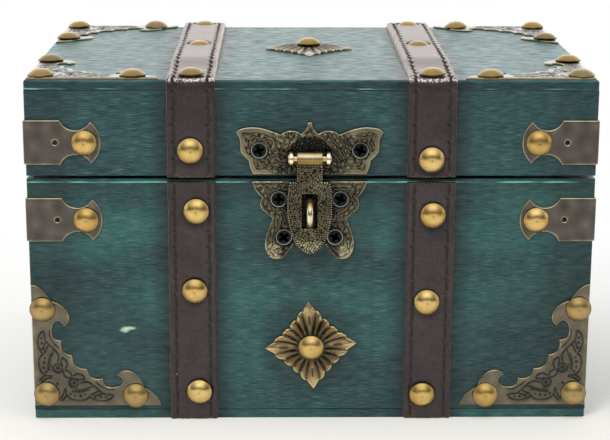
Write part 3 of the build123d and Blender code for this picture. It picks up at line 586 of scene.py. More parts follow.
# runs a tree on an object and leaves its result as a plain mesh
def runTree(piece, tree, **inputs):
    modifier = piece.modifiers.new(tree.name, "NODES")
    modifier.node_group = tree
    for item in tree.interface.items_tree:
        if item.in_out == "INPUT" and item.name in inputs:
            modifier[item.identifier] = inputs[item.name]
    bpy.context.view_layer.update()
    evaluated = piece.evaluated_get(bpy.context.evaluated_depsgraph_get())
    mesh = bpy.data.meshes.new_from_object(evaluated)
    piece.modifiers.clear()
    piece.data = mesh
    mesh.name = piece.name


plantFasteners = fastenerTree()


def plant(name, cadNodes, body, slot, fastener, headHeight, finish, lean, seed, tones=None):
    places, facings = seatsOf(cadNodes, headHeight)
    piece = seatObject(name, places, facings)
    if tones:
        # painted shade: the nails that face up are dulled, for the dimmer light they mirror from above
        upwardShade = nail["upwardShade"] * (facings[:, 2] > 0.5)
        addAttribute(piece, "tone", np.random.default_rng(seed).uniform(*tones, len(places)) - upwardShade)
    runTree(piece, plantFasteners, Shape=fastener, Finish=finish, Lean=math.radians(lean), Seed=seed)
    shadeSmooth(piece.data, sharpAngle=38)
    finishPiece(piece, body, slot, *cadNodes)


# Domed nail: a low dome with a rolled rim and a tiny mark at its middle
nail = {"radius": 5.1, "height": 2.6, "rim": 0.4, "dimpleDepth": 0.07, "fullness": 0.16, "shank": 0.9,
        "stub": 1.2, "lean": 3.0, "upwardShade": 0.3, "rimShading": ((0.45, 0.95, 0.32), (0.9, 1.0, 0.85)),
        "rings": (0.08, 0.12, 0.2, 0.3, 0.4, 0.5, 0.6, 0.7, 0.79, 0.87, 0.93, 0.97, 0.995),
        "rimTurn": ((0.0, 0.3), (0.04, 0.12), (0.25, 0.0))}
domeRise = nail["height"] - nail["rim"]
bow = (nail["radius"] ** 2 + domeRise ** 2) / (2 * domeRise)
domeProfile = [(0, nail["height"] - nail["dimpleDepth"])]
for share in nail["rings"]:
    radius = share * nail["radius"]
    # the dome is a little fuller than a ball's cap towards its rim, as a stamped one is
    fuller = nail["fullness"] * math.sin(math.pi * share) ** 2
    height = nail["height"] - bow + math.sqrt(bow ** 2 - radius ** 2) + fuller
    domeProfile.append((radius, min(height, nail["height"] - 0.01 * share)))
domeProfile += [(nail["radius"] - inset, height) for inset, height in nail["rimTurn"]]
domeProfile += [(nail["shank"], 0.0), (nail["shank"], -nail["stub"]), (0, -nail["stub"])]
domeNail = lathe("domeNail", domeProfile, nailFinish)
fromAxis = np.array([math.hypot(vert.co.x, vert.co.y) / mm for vert in domeNail.data.vertices])
# painted shade darkens the dome towards its rim, most of all in its corner, and dirt lies in the mark
rimShaded = np.max([depth * ease(fromAxis, start * nail["radius"], end * nail["radius"])
                 for start, end, depth in nail["rimShading"]], axis=0)
addAttribute(domeNail, "rim", rimShaded + (fromAxis < 0.1))
nailGroups = [
    ("strap_nails_base", ["base_strap_nails", "front_star_nail"], "base", 3, (0.42, 0.62)),
    ("strap_nails_lid", ["lid_strap_nails", "top_star_nail"], "lid", 5, (0.4, 0.6)),
    ("bracket_nails_base", ["base_bracket_nails"], "base", 8, (0.3, 0.5)),
    ("bracket_nails_lid", ["lid_bracket_nails"], "lid", 9, (0.25, 0.45)),
    ("corner_nails_base", ["base_corner_nails"], "base", 12, (0.05, 0.35)),
    ("corner_nails_lid", ["lid_corner_nails"], "lid", 13, (0.2, 0.5)),
]
for name, cadNodes, body, seed, tones in nailGroups:
    plant(name, cadNodes, body, "dome_brass", domeNail, nail["height"], nailFinish, nail["lean"], seed, tones)
bpy.data.objects.remove(domeNail)
print("nails planted")

# Cross-head screw, in shares of its head's radius: a nearly flat head, a rubbed rim and a sunk tapered cross
screw = {"sides": 64, "crown": 0.1, "crossDepth": 0.36, "arm": (0.1, 0.2), "armEnd": (0.52, 0.68),
         "rim": (0.88, 0.95), "rings": (0.1, 0.2, 0.3, 0.4, 0.5, 0.58, 0.66, 0.78, 0.88, 0.93, 0.97, 1.0),
         "neck": ((0.99, -0.12), (0.4, -0.5)), "lean": 2.0, "flatTone": 0.42, "rimTone": 0.36,
         "neckTone": 0.2}


def crossScrew(name, headRadius, material):
    turns = np.arange(screw["sides"]) * 2 * math.pi / screw["sides"]
    points = []
    relief = []
    for share in (0.0, *screw["rings"]):
        for turn in turns if share else (0.0,):
            x, y = share * math.cos(turn), share * math.sin(turn)
            inCross = (1 - ease(min(abs(x), abs(y)), *screw["arm"])) * (1 - ease(share, *screw["armEnd"]))
            points.append((x, y, screw["crown"] * (1 - share ** 2) - screw["crossDepth"] * inCross))
            relief.append(screw["flatTone"] * (1 - inCross) + screw["rimTone"] * ease(share, *screw["rim"]))
    for share, height in screw["neck"]:
        points += [(share * math.cos(turn), share * math.sin(turn), height) for turn in turns]
    points.append((0, 0, height))
    relief += [screw["neckTone"]] * (len(points) - len(relief))
    piece = polarMesh(name, np.array(points) * headRadius * mm, screw["sides"], material)
    addAttribute(piece, "relief", relief)
    return piece


screwGroups = [
    ("latch", 3.1, screwBlack, "black_screw",
     (("base", "latch_lower_screws", 14), ("lid", "latch_upper_screws", 21))),
    ("hinge", 1.8, hingeBrass, "hinge_brass",
     (("base", "hinge_base_screws", 31), ("lid", "hinge_lid_screws", 32))),
]
screwCrown = {}
for use, headRadius, finish, slot, places in screwGroups:
    oneScrew = crossScrew(use + "Screw", headRadius, finish)
    screwCrown[use] = screw["crown"] * headRadius
    for body, cadNode, seed in places:
        plant(f"{use}_screws_{body}", [cadNode], body, slot, oneScrew, screwCrown[use], finish,
              screw["lean"], seed)
    bpy.data.objects.remove(oneScrew)
print("screws planted")

# Plates: the outline is read from the CAD solid's flat outer face, then filled with a fine grid whose heights
# carry the ornament. Across and up are the plate's own axes, seen from outside.
plate = {"edgeShare": 0.7, "dense": 0.12, "rowShare": 0.87, "insets": (0.16, 0.36), "gridClear": 0.5,
         "ringClear": 0.13, "rounding": 0.28, "roundReach": 0.4, "least": 0.15, "wallTone": 0.35}


def plateAxes(facing):
    up = Vector((0, 1, 0)) if abs(facing.z) > 0.5 else Vector((0, 0, 1))
    return up.cross(facing), up


def flatLoops(name, facing):
    across, up = plateAxes(facing)
    shape = mergedCopy(name)
    levels = {}
    for face in shape.faces:
        if face.normal.dot(facing) > 0.9995:
            levels.setdefault(round(face.calc_center_median().dot(facing) / mm, 1), []).append(face)
    height = max(levels, key=lambda key: sum(face.calc_area() for face in levels[key]))
    chosen = set(levels[height])
    following = {}
    for face in levels[height]:
        for corner in face.loops:
            if not any(other in chosen for other in corner.edge.link_faces if other is not face):
                following[corner.vert] = corner.link_loop_next.vert
    loops = []
    while following:
        vert = next(iter(following))
        loop = []
        while vert in following:
            loop.append((vert.co.dot(across) / mm, vert.co.dot(up) / mm))
            vert = following.pop(vert)
        loops.append(np.array(loop))
    shape.free()
    loops.sort(key=lambda loop: -np.ptp(loop, axis=0).sum())
    return loops, height


def subdivide(loop, step):
    spots = []
    for start, end in zip(loop, np.roll(loop, -1, axis=0)):
        count = max(1, math.ceil(np.linalg.norm(end - start) / step))
        spots += [start + (end - start) * share for share in np.arange(count) / count]
    return np.array(spots)


def inside(spots, loop):
    x, y = spots[:, 0], spots[:, 1]
    found = np.zeros(len(spots), bool)
    for (ax, ay), (bx, by) in zip(loop, np.roll(loop, -1, axis=0)):
        crosses = (ay > y) != (by > y)
        if ay != by:
            found ^= crosses & (x < (bx - ax) * (y - ay) / (by - ay) + ax)
    return found


# a loop that runs anticlockwise, or clockwise for a hole
def wound(loop, clockwise=False):
    x, y = loop.T
    area = np.sum(x * np.roll(y, -1) - y * np.roll(x, -1))
    return loop[::-1] if (area < 0) != clockwise else loop


# how far each spot lies from the nearest point of a line, and how far along that line
def alongLine(spots, line):
    tree = KDTree(len(line))
    for index, spot in enumerate(line):
        tree.insert((*spot, 0), index)
    tree.balance()
    found = [tree.find((*spot, 0)) for spot in spots]
    return np.array([hit[2] for hit in found]), np.array([hit[1] for hit in found])


def plateMesh(loops, step, carve):
    loops = [subdivide(loop, plate["edgeShare"] * step) for loop in loops]
    dense = np.vstack([subdivide(loop, plate["dense"]) for loop in loops])
    rim = np.vstack(loops)
    edges = []
    rings = []
    for loop in loops:
        start = len(edges)
        edges += [(start + index, start + (index + 1) % len(loop)) for index in range(len(loop))]
        flow = np.roll(loop, -1, axis=0) - np.roll(loop, 1, axis=0)
        steps = np.maximum(np.linalg.norm(flow, axis=1), 1e-9)
        inward = np.stack((-flow[:, 1], flow[:, 0]), 1) / steps[:, None]
        rings += [loop + inward * inset for inset in plate["insets"]]
    low, high = loops[0].min(0), loops[0].max(0)
    across, up = np.meshgrid(np.arange(low[0], high[0], step),
                             np.arange(low[1], high[1], step * plate["rowShare"]))
    across[1::2] += step / 2
    grid = np.stack((across.ravel(), up.ravel()), 1)

    def inHole(spots):
        found = np.zeros(len(spots), bool)
        for hole in loops[1:]:
            found |= inside(spots, hole)
        return found

    def kept(spots, clear):
        spots = spots[inside(spots, loops[0]) & ~inHole(spots)]
        return spots[alongLine(spots, dense)[0] > clear]

    def filled(chosen):
        _, _, faces, origin, _, _ = delaunay_2d_cdt([Vector(spot) for spot in chosen], edges, [], 1, 1e-6)
        triangles = [tuple(origin[corner][0] for corner in face) for face in faces
                     if all(origin[corner] for corner in face)]
        gone = inHole(np.array([chosen[list(triangle)].mean(0) for triangle in triangles]))
        return [triangle for triangle, isGone in zip(triangles, gone) if not isGone]

    rings = kept(np.vstack(rings), plate["ringClear"])
    spots = np.vstack((rim, rings, kept(grid, plate["gridClear"] + 0.2 * step)))
    offset, along = alongLine(spots, dense)
    offset[:len(rim)] = 0
    outer = alongLine(spots, subdivide(loops[0], plate["dense"]))[0]
    heights, relief = carve(spots, offset, outer, along * plate["dense"])
    rounding = plate["rounding"] * np.clip(1 - offset / plate["roundReach"], 0, 1) ** 2
    heights = np.clip(heights - rounding, plate["least"], None)
    points = np.vstack((np.column_stack((spots, heights)), np.column_stack((rim, np.zeros(len(rim))))))
    foot = len(spots)
    faces = filled(spots) + [tuple(foot + corner for corner in reversed(face)) for face in filled(rim)]
    faces += [(b, a, foot + a, foot + b) for a, b in edges]
    return points, faces, list(relief) + [plate["wallTone"]] * len(rim)


# places a plate's millimetre points on the box and makes its object
def setPlate(name, built, origin, across, up, facing, material):
    points, faces, tone = built
    axes = np.array([across, up, facing])
    piece = meshObject(name, (points @ axes + np.array(origin)) * mm, faces, material)
    addAttribute(piece, "relief", tone)
    return piece


# a smooth line through given spots, as dense points
def drawn(spots, count=60):
    spots = np.array(spots, float)
    if len(spots) < 3:
        return np.linspace(spots[0], spots[-1], count)
    ends = np.vstack((2 * spots[0] - spots[1], spots, 2 * spots[-1] - spots[-2]))
    line = []
    for index in range(1, len(ends) - 2):
        a, b, c, d = ends[index - 1:index + 3]
        for t in np.arange(0, 1, len(spots) / count):
            line.append(0.5 * (2 * b + (c - a) * t + (2 * a - 5 * b + 4 * c - d) * t ** 2
                               + (3 * b - a - 3 * c + d) * t ** 3))
    return np.vstack((line, spots[-1:]))


def ringLine(middle, radius):
    turns = np.radians(np.linspace(0, 360, 40))
    return np.stack((middle[0] + radius * np.cos(turns), middle[1] + radius * np.sin(turns)), 1)


# worm-like cast texture: waves of one length in every direction, which meet as a labyrinth
def labyrinth(spots, wave, seed, count=30):
    rng = np.random.default_rng(seed)
    field = np.zeros(len(spots))
    for turn, phase, length in zip(rng.uniform(0, math.pi, count), rng.uniform(0, 2 * math.pi, count),
                                   wave * rng.uniform(0.85, 1.2, count)):
        flow = spots[:, 0] * math.cos(turn) + spots[:, 1] * math.sin(turn)
        field += np.cos(2 * math.pi / length * flow + phase)
    return field / math.sqrt(count / 2)


# Corner plate: a feathered band along each arm, two eyes and crossed petals, engraved in millimetres from the
# corner. Only one half is drawn, and the other mirrors it.
corner = {
    "thickness": 0.8, "step": 0.34, "depth": 0.28, "line": 0.28, "bandStart": (7, 11), "bandEnd": (29, 33),
    "bandInset": (1.0, 2.4), "bandSink": 0.1, "edge": (0.05, 0.36), "mottle": 6.0, "dotEdge": (0.6, 1.3),
    "tone": {"ground": 0.5, "band": -0.13, "cut": -0.42, "mottle": 0.03, "edge": 0.36},
    "strokes": [
        [(12.4, 7.0), (12.7, 4.7), (14.5, 2.8), (17.5, 2.1), (20.4, 2.6), (21.6, 3.9)],
        [(21.6, 3.9), (22.9, 3.0), (25.1, 2.1), (27.6, 2.0), (30.2, 3.0), (31.3, 4.3)],
        [(31.3, 4.3), (29.8, 4.6), (27.6, 4.9), (25.8, 6.2), (24.0, 8.1)],
        [(14.9, 6.2), (17.5, 6.4), (19.6, 6.8), (21.6, 7.6), (24.0, 8.1)],
        [(15.2, 5.6), (17.6, 5.8), (19.8, 6.2), (21.8, 6.9)],
        [(14.5, 11.8), (13.8, 9.6), (14.9, 7.7), (16.9, 7.2)],
        [(15.6, 12.6), (17.2, 13.3), (18.9, 12.9), (20.0, 11.5), (18.3, 10.9), (16.6, 11.4)],
        [(18.4, 9.6), (20.2, 10.0), (22.0, 9.6), (24.0, 8.1)],
        [(24.4, 10.0), (26.4, 8.2), (29.1, 6.7), (31.6, 6.9)],
        [(11.1, 15.2), (11.5, 13.2), (13.1, 11.9), (15.2, 11.5)],
        [(12.4, 15.0), (14.0, 14.4), (15.0, 12.4)],
        [(9.8, 2.8), (11.3, 4.7), (12.0, 7.0)],
        [(10.6, 2.2), (12.0, 3.4), (12.7, 4.7)],
        [(22.4, 4.6), (24.0, 5.4), (25.8, 6.2)],
        [(23.6, 3.2), (24.6, 4.2), (26.6, 4.9)],
        [(8.2, 12.6), (7.6, 10.6), (7.9, 8.8)],
    ],
    "rings": [((15.9, 9.6), 1.6), ((15.9, 9.6), 0.55)],
    "dots": [(15.9, 9.6, 0.6), (14.2, 4.9, 0.5), (16.0, 4.1, 0.4), (18.2, 4.2, 0.5), (20.0, 4.6, 0.35),
             (23.6, 4.2, 0.3), (26.2, 3.6, 0.5), (28.2, 3.5, 0.4), (9.2, 9.2, 0.5)],
}


def carveCorner(spots, offset, outer, along):
    folded = np.stack((spots.max(1), spots.min(1)), 1)
    lines = [drawn(stroke) for stroke in corner["strokes"]] + [ringLine(*ring) for ring in corner["rings"]]
    cut = softLine(alongLine(folded, np.vstack(lines))[0], corner["line"])
    for x, y, radius in corner["dots"]:
        away = np.hypot(folded[:, 0] - x, folded[:, 1] - y)
        cut = np.maximum(cut, 1 - ease(away / radius, *corner["dotEdge"]))
    # the ground of the engraved band is sunk a little and stays darker
    band = between(folded[:, 0], corner["bandStart"], corner["bandEnd"]) * ease(offset, *corner["bandInset"])
    heights = corner["thickness"] - corner["bandSink"] * band - corner["depth"] * cut
    return heights, toned(corner["tone"], band=band, cut=cut, mottle=labyrinth(spots, corner["mottle"], 7),
                          edge=1 - ease(offset, *corner["edge"]))


cornerLoop = flatLoops("base_corner_plate_left", front)[0][0]
cornerBuilt = plateMesh([cornerLoop - cornerLoop.min(0)], corner["step"], carveCorner)
for side, sideName in bothSides:
    low, high = boxOf("base_corner_plate_" + sideName)
    origin = (low.x if side < 0 else high.x, high.y, low.z)
    axes = ((1, 0, 0), (0, 0, 1)) if side < 0 else ((0, 0, 1), (-1, 0, 0))
    piece = setPlate("corner_plate_base_" + sideName, cornerBuilt, origin, *axes, front, cornerBronze)
    finishPiece(piece, "base", "antique_bronze", "base_corner_plate_" + sideName)
    for end, endName in ((-1, "front"), (1, "back")):
        place = f"{endName}_{sideName}"
        low, high = boxOf("lid_corner_plate_" + place)
        origin = (low.x if side < 0 else high.x, low.y if end < 0 else high.y, low.z)
        axes = ((-side, 0, 0), (0, -end, 0)) if side * end > 0 else ((0, -end, 0), (-side, 0, 0))
        piece = setPlate("corner_plate_lid_" + place, cornerBuilt, origin, *axes, top, cornerBronze)
        finishPiece(piece, "lid", "antique_bronze", "lid_corner_plate_" + place)
print("corner plates made")

# Bracket: cut flat with both its legs, then folded round the corner of the box
bracket = {"thickness": 0.8, "step": 0.55, "bend": 0.6, "clear": 1.0, "edge": (0.08, 0.5), "mottle": 7.0,
           "tone": {"ground": 0.42, "edge": 0.55, "mottle": 0.05}}


def carveBracket(spots, offset, outer, along):
    relief = toned(bracket["tone"], edge=1 - ease(offset, *bracket["edge"]),
                   mottle=labyrinth(spots, bracket["mottle"], 4))
    return np.full(len(spots), bracket["thickness"]), relief


def foldedBracket(cadName, name, body, side):
    loops = flatLoops(cadName, front)[0]
    cornerX = side * halfWidth
    middleZ = (loops[0][:, 1].min() + loops[0][:, 1].max()) / 2
    flat = [np.stack(((cornerX - loop[:, 0]) * side, loop[:, 1] - middleZ), 1) for loop in loops]
    # the front leg's outline, from its lower corner at the bend to its upper one, then the side leg's
    leg = flat[0][flat[0][:, 0] > bracket["clear"]]
    leg = np.roll(leg, -int(np.argmin(np.where(leg[:, 1] < 0, leg[:, 0], np.inf))), axis=0)
    if leg[1, 1] > 0:
        leg = np.roll(leg[::-1], 1, axis=0)
    mirror = np.array((-1, 1))
    whole = wound(np.vstack((leg, leg[::-1] * mirror)))
    holes = [wound(hole, clockwise=True) for loop in flat[1:] for hole in (loop, loop * mirror)]
    points, faces, tone = plateMesh([whole] + holes, bracket["step"], carveBracket)
    # the positive leg lies on the front, the negative one on the side, with a small bend between
    along, height, lift = points.T
    radius = bracket["bend"]
    spare = radius * math.pi / 4
    turn = (np.clip(along / spare, -1, 1) + 1) * math.pi / 4
    past = np.sign(along) * np.maximum(np.abs(along) - spare, 0)
    x = (radius + lift) * np.cos(turn) - radius - np.maximum(past, 0)
    y = radius - (radius + lift) * np.sin(turn) - np.minimum(past, 0)
    placed = np.stack((cornerX + side * x, woodLow.y + y, middleZ + height), 1) * mm
    if side > 0:
        faces = [tuple(reversed(face)) for face in faces]
    piece = meshObject(name, placed, faces, plateBronze)
    addAttribute(piece, "relief", tone)
    finishPiece(piece, body, "antique_bronze", cadName)
    return [loop.mean(0) for loop in loops[1:]]


bracketHoles = {}
for side, sideName in bothSides:
    for body in ("base", "lid"):
        bracketHoles[body] = foldedBracket(
            f"{body}_bracket_{sideName}", f"corner_bracket_{body}_{sideName}", body, side)
print("brackets folded")

# Wood finishes: boards along X or Y, with the rubbed rim, the bracket's empty nail holes and one chip on the
# front. A band is two heights with their shares, and a cloud of painted shade a place, its half-sizes and
# its depth. The cut edge of the lid's top drinks more stain.
marks = {
    "chips": [((-73.4, -72.0, 37.0), (1.9, 3.0, 1.35)), ((-71.6, -72.0, 37.6), (2.3, 3.0, 0.8))],
    "rimLine": rimZ - 1.2, "topLine": lidHigh.z - 3.4,
    # painted shade: the base front darkens towards its rim, under the lid
    "belowRim": (rimZ - 14.0, rimZ - 1.0, 0.0, 0.3, "SMOOTHSTEP"),
    "cutEdge": (lidHigh.z - 0.7, lidHigh.z - 0.2, 0.5, 0.0, "LINEAR"),
    "latchShade": (0.0, 94.0, 30.0, 34.0, 0.4),
    "edgeShade": (halfWidth + 4.0, 60.0, 22.0, 150.0, 0.4),
    "starShade": (0.0, middleOf("front_star").z, 19.0, 19.0, 0.45),
    "cornerShade": (halfWidth, 8.0, 56.0, 56.0, 0.4),
}
frontHoles = {body: [(False, abs(x), z) for x, z in spots] for body, spots in bracketHoles.items()}
sideHoles = {body: [(True, woodLow.y + halfWidth - abs(x), z) for x, z in spots]
             for body, spots in bracketHoles.items()}
plainWood = stainedWood("teal stained wood along X", "X")
boards = {
    "base_front_panel": stainedWood(
        "teal stained base front", "X", marks["rimLine"], marks["chips"], frontHoles["base"], rubShare=0.44,
        bands=[marks["belowRim"]], footShade=0.4,
        shadeClouds=[marks[key] for key in ("latchShade", "edgeShade", "starShade", "cornerShade")]),
    "base_back_panel": stainedWood("teal stained base back", "X", marks["rimLine"]),
    "base_left_panel": stainedWood("teal stained base sides", "Y", marks["rimLine"], holes=sideHoles["base"]),
    "lid_front_rail": stainedWood(
        "teal stained lid front", "X", holes=frontHoles["lid"], blue=0.5,
        shadeClouds=[marks["latchShade"], marks["edgeShade"]]),
    "lid_left_rail": stainedWood("teal stained lid sides", "Y", holes=sideHoles["lid"]),
    "lid_top_panel": stainedWood(
        "teal stained lid top", "X", marks["topLine"], rubShare=0.54, blue=0.2, bands=[marks["cutEdge"]]),
}
boards["base_right_panel"] = boards["base_left_panel"]
boards["lid_right_rail"] = boards["lid_left_rail"]
for name in nodes:
    if name.endswith(("_panel", "_rail")):
        dressNode(name, boards.get(name, plainWood))
print("wood stained")

# Star boss: pressed leaves that run from the nail to every scallop, with a slit along each tip
star = {"rise": 1.6, "slope": 1.25, "seat": 4.6, "edge": 0.75, "rib": 0.42, "ribMiddle": 0.3,
        "ribEdge": (-0.6, 2.0), "step": 0.34, "least": 0.3, "scallops": 6, "leafSpread": 1.4,
        "leafStart": (5.2, 7.5), "groove": 0.28, "grooveDepth": 0.2, "vein": 0.22, "veinStart": (7.0, 8.0),
        "veinEnd": (9.5, 11.0), "slit": 0.36, "slitDepth": 0.5, "slitStart": (8.5, 9.5),
        "slitEnd": (12.0, 13.2), "dark": (5.5, 8.5), "rubbed": (10.0, 16.0), "rim": (0.1, 0.9),
        "tone": {"ground": 0.52, "wave": 0.1, "groove": -0.3, "slit": -0.5, "vein": -0.25, "rim": 0.3,
                 "rubbed": 0.22, "dark": -0.28}}


def carveStar(spots, offset, outer, along):
    radius = np.hypot(spots[:, 0], spots[:, 1])
    turn = np.arctan2(np.abs(spots[:, 1]), np.abs(spots[:, 0]))
    share = np.tan(np.clip(turn, 0, math.pi / 2 - 1e-6))
    share = share / (1 + share)
    share = np.minimum(share, 1 - share) * star["scallops"]
    wave = np.where(share < 1, np.cos(math.pi * share), -np.cos(2 * math.pi * share))
    reach = radius.max()
    slope = np.clip((reach - radius) / (reach - star["seat"]), 0, 1)
    fade = ease(radius, *star["leafStart"])
    heights = star["edge"] + star["rise"] * slope ** star["slope"]
    heights = heights + star["rib"] * (wave - star["ribMiddle"]) * fade * ease(offset, *star["ribEdge"])
    # the grooves between leaves are narrow and dark, and each leaf has a fine vein
    spread = star["leafSpread"] * radius / star["scallops"]
    groove = softLine((share - np.maximum(np.round(share), 1)) * spread, star["groove"])
    vein = softLine((share - np.floor(share) - 0.5) * spread, star["vein"]) * (share > 1)
    vein = vein * between(radius, star["veinStart"], star["veinEnd"])
    slit = softLine(share * radius / star["scallops"], star["slit"])
    slit = slit * between(radius, star["slitStart"], star["slitEnd"])
    heights = np.maximum(heights - star["slitDepth"] * slit - star["grooveDepth"] * groove, star["least"])
    return heights, toned(star["tone"], wave=wave * fade, groove=groove, slit=slit, vein=vein,
                          rim=1 - ease(offset, *star["rim"]), rubbed=ease(radius, *star["rubbed"]),
                          dark=1 - ease(radius, *star["dark"]))


def ribbedStar(cadName, name, body, facing, tilt, finish):
    outline = flatLoops(cadName, facing)[0][0]
    middle = (outline.min(0) + outline.max(0)) / 2
    spin = math.radians(tilt)
    turned = np.array(((math.cos(spin), -math.sin(spin)), (math.sin(spin), math.cos(spin))))
    points, faces, tone = plateMesh([(outline - middle) @ turned], star["step"], carveStar)
    points[:, :2] = points[:, :2] @ turned.T + middle
    wall = Vector(boxOf(cadName)[0 if facing.z > 0 else 1]).dot(facing)
    piece = setPlate(name, (points, faces, tone), facing * wall, *plateAxes(facing), facing, finish)
    finishPiece(piece, body, "antique_bronze", cadName)


ribbedStar("front_star", "star_boss_front", "base", front, 3.6, starBronze)
ribbedStar("top_star", "star_boss_top", "lid", top, 0.0, topSheenBronze)
print("stars pressed")

# Butterfly latch: worm-textured castings with smooth rubbed wing tips
latch = {
    "thickness": 1.6, "step": 0.3, "fineStep": 0.24, "depth": 0.32, "worm": 2.2, "fineWorm": 1.6,
    "contour": 2.6, "contourEnd": (5.0, 8.0), "waver": 0.22, "waverLength": 4.0, "rim": (0.1, 0.4),
    "wing": (12.0, 17.0), "wingBand": 2.0, "bandEdge": 0.35, "lowerBand": 1.2, "dirtRadius": 3.2,
    "dirtWidth": 0.7, "track": (0.12, 0.4), "fineTrack": (0.165, 0.55), "wormShare": 0.5, "contourShare": 1.1,
    # upper half: the scales, hood and shadow are placed from the pin's axis, the antennae from the peak
    "scaleEnd": (8.0, 8.8), "scaleFoot": (1.0, 2.0), "scaleLength": 1.5, "scaleCount": 15, "hoodRadius": 8.9,
    "hoodWidth": 0.35, "hoodFoot": (3.0, 5.0), "shadowAside": (9.5, 14.5), "shadowTop": (2.0, 5.0),
    "antennaHalf": 2.2, "antennaFoot": 6.2, "antennaTip": 2.4, "antennaLine": 0.26,
    "antennaAside": (2.4, 3.2), "antennaFade": 0.8, "scaleEdge": (0.0, 0.7), "scaleShade": 0.7,
    "hoodRise": 0.1,
    # lower half and tongue: their tips are measured from the foot
    "covered": (9.5, 12.5), "slot": (4.5, 6.5), "shoulder": (17.0, 21.0), "tipAside": (10.0, 13.0),
    "tipTop": (4.0, 9.0), "bead": 1.4, "beadRim": (0.45, 0.8), "wormRim": (0.5, 0.9), "slotEdge": (0.1, 0.35),
    "slotInner": (1.0, 1.5), "tongueTip": (3.5, 6.5), "beadEdge": (-0.5, 0.4),
    "upperTone": {"ground": 0.48, "lines": -0.36, "band": 0.1, "rim": 0.34, "hood": 0.2, "worm": 0.06,
                  "shade": -0.18, "dirt": -0.2},
    "lowerTone": {"ground": 0.45, "lines": -0.28, "rim": 0.36, "tip": 0.3, "shoulder": 0.06,
                  "covered": -0.18, "slot": -0.8, "worm": 0.06, "dirt": -0.2},
    "tongueTone": {"ground": 0.06, "ridges": 0.46, "beads": 0.3, "tip": 0.25, "slotRim": 0.3},
}
latchX = middleOf("latch_hasp").x
_, axisY, axisZ = middleOf("latch_pin")
screwSpots = {body: seatsOf([f"latch_{half}_screws"], screwCrown["latch"])[0] / mm
              for body, half in (("lid", "upper"), ("base", "lower"))}


# painted shadow: a dark ring round the screws of one half
def shadowRoundScrews(spots, body):
    away = np.min([np.hypot(spots[:, 0] - x, spots[:, 1] - z) for x, _, z in screwSpots[body]], axis=0)
    return softLine(away - latch["dirtRadius"], latch["dirtWidth"])


# thin dark lines where a field passes zero, as worm tracks
def tracks(field, edge):
    return 1 - ease(np.abs(field), *edge)


# an uneven distance from the outline, waves that follow the outline from a first band on, and a worm field
def castFields(spots, outer, firstBand, waverSeed, wormSeed):
    uneven = outer + latch["waver"] * labyrinth(spots, latch["waverLength"], waverSeed)
    contours = np.sin(2 * math.pi * (uneven - firstBand) / latch["contour"])
    contours = contours * (1 - ease(outer, *latch["contourEnd"]))
    return uneven, contours, labyrinth(spots, latch["worm"], wormSeed)


def carveUpper(spots, offset, outer, along):
    peak = boxOf("latch_upper_plate")[1].z
    across, height = np.abs(spots[:, 0] - latchX), spots[:, 1] - axisZ
    wing = ease(across, *latch["wing"])
    uneven, contours, field = castFields(spots, outer, latch["wingBand"], 5, 12)
    mixed = field * (1 - latch["wormShare"] * wing) + latch["contourShare"] * contours * wing
    lines = tracks(mixed, latch["track"])
    band = wing * (1 - ease(uneven, latch["wingBand"] - latch["bandEdge"], latch["wingBand"]))
    lines = lines * (1 - band)
    # a hood of small scales over the barrel
    rise = np.hypot(across, height)
    turn = np.arctan2(height, spots[:, 0] - latchX)
    scaly = (1 - ease(rise, *latch["scaleEnd"])) * ease(height, *latch["scaleFoot"])
    rows = np.cos(2 * math.pi * rise / latch["scaleLength"])
    scales = ease(rows * np.cos(turn * latch["scaleCount"]), *latch["scaleEdge"])
    lines = lines * (1 - scaly) + scaly * (1 - scales)
    hood = softLine(rise - latch["hoodRadius"], latch["hoodWidth"]) * ease(height, *latch["hoodFoot"])
    # and a plain triangle below the antennae
    foot, tip = peak - latch["antennaFoot"], peak - latch["antennaTip"]
    left, right = ((latchX + end * latch["antennaHalf"], foot) for end in (-1, 1))
    corners = (left, (latchX, tip), right, left)
    triangle = np.vstack([drawn(corners[index:index + 2]) for index in range(3)])
    cut = softLine(alongLine(spots, triangle)[0], latch["antennaLine"])
    aboveFoot = ease(spots[:, 1], foot - latch["antennaFade"], foot)
    antenna = (1 - ease(across, *latch["antennaAside"])) * aboveFoot
    rim = 1 - ease(outer, *latch["rim"])
    lines = np.maximum(lines * (1 - antenna), cut) * (1 - rim)
    shadow = (1 - ease(across, *latch["shadowAside"])) * (1 - ease(height, *latch["shadowTop"]))
    heights = latch["thickness"] - latch["depth"] * lines + latch["hoodRise"] * hood
    return heights, toned(latch["upperTone"], lines=lines, band=band, rim=rim, hood=hood,
                          worm=field * (1 - band), shade=np.maximum(shadow, latch["scaleShade"] * scaly),
                          dirt=shadowRoundScrews(spots, "lid"))


def carveLower(spots, offset, outer, along):
    foot = boxOf("latch_lower_plate")[0].z
    across = np.abs(spots[:, 0] - latchX)
    _, contours, field = castFields(spots, outer, latch["lowerBand"], 8, 23)
    rim = 1 - ease(outer, *latch["rim"])
    lines = tracks(latch["wormShare"] * field + contours, latch["track"]) * (1 - rim)
    # what the tongue covers stays dark, unrubbed patina with its painted shadow beside it; the slot is
    # painted
    # black, the shade inside it; and the wing tips are rubbed
    covered = 1 - ease(across, *latch["covered"])
    slot = 1 - ease(across, *latch["slot"])
    tip = ease(across, *latch["tipAside"]) * (1 - ease(spots[:, 1] - foot, *latch["tipTop"]))
    relief = toned(latch["lowerTone"], lines=lines, rim=rim, tip=tip, covered=covered, slot=slot, worm=field,
                   shoulder=ease(across, *latch["shoulder"]), dirt=shadowRoundScrews(spots, "base"))
    return latch["thickness"] - latch["depth"] * lines, relief


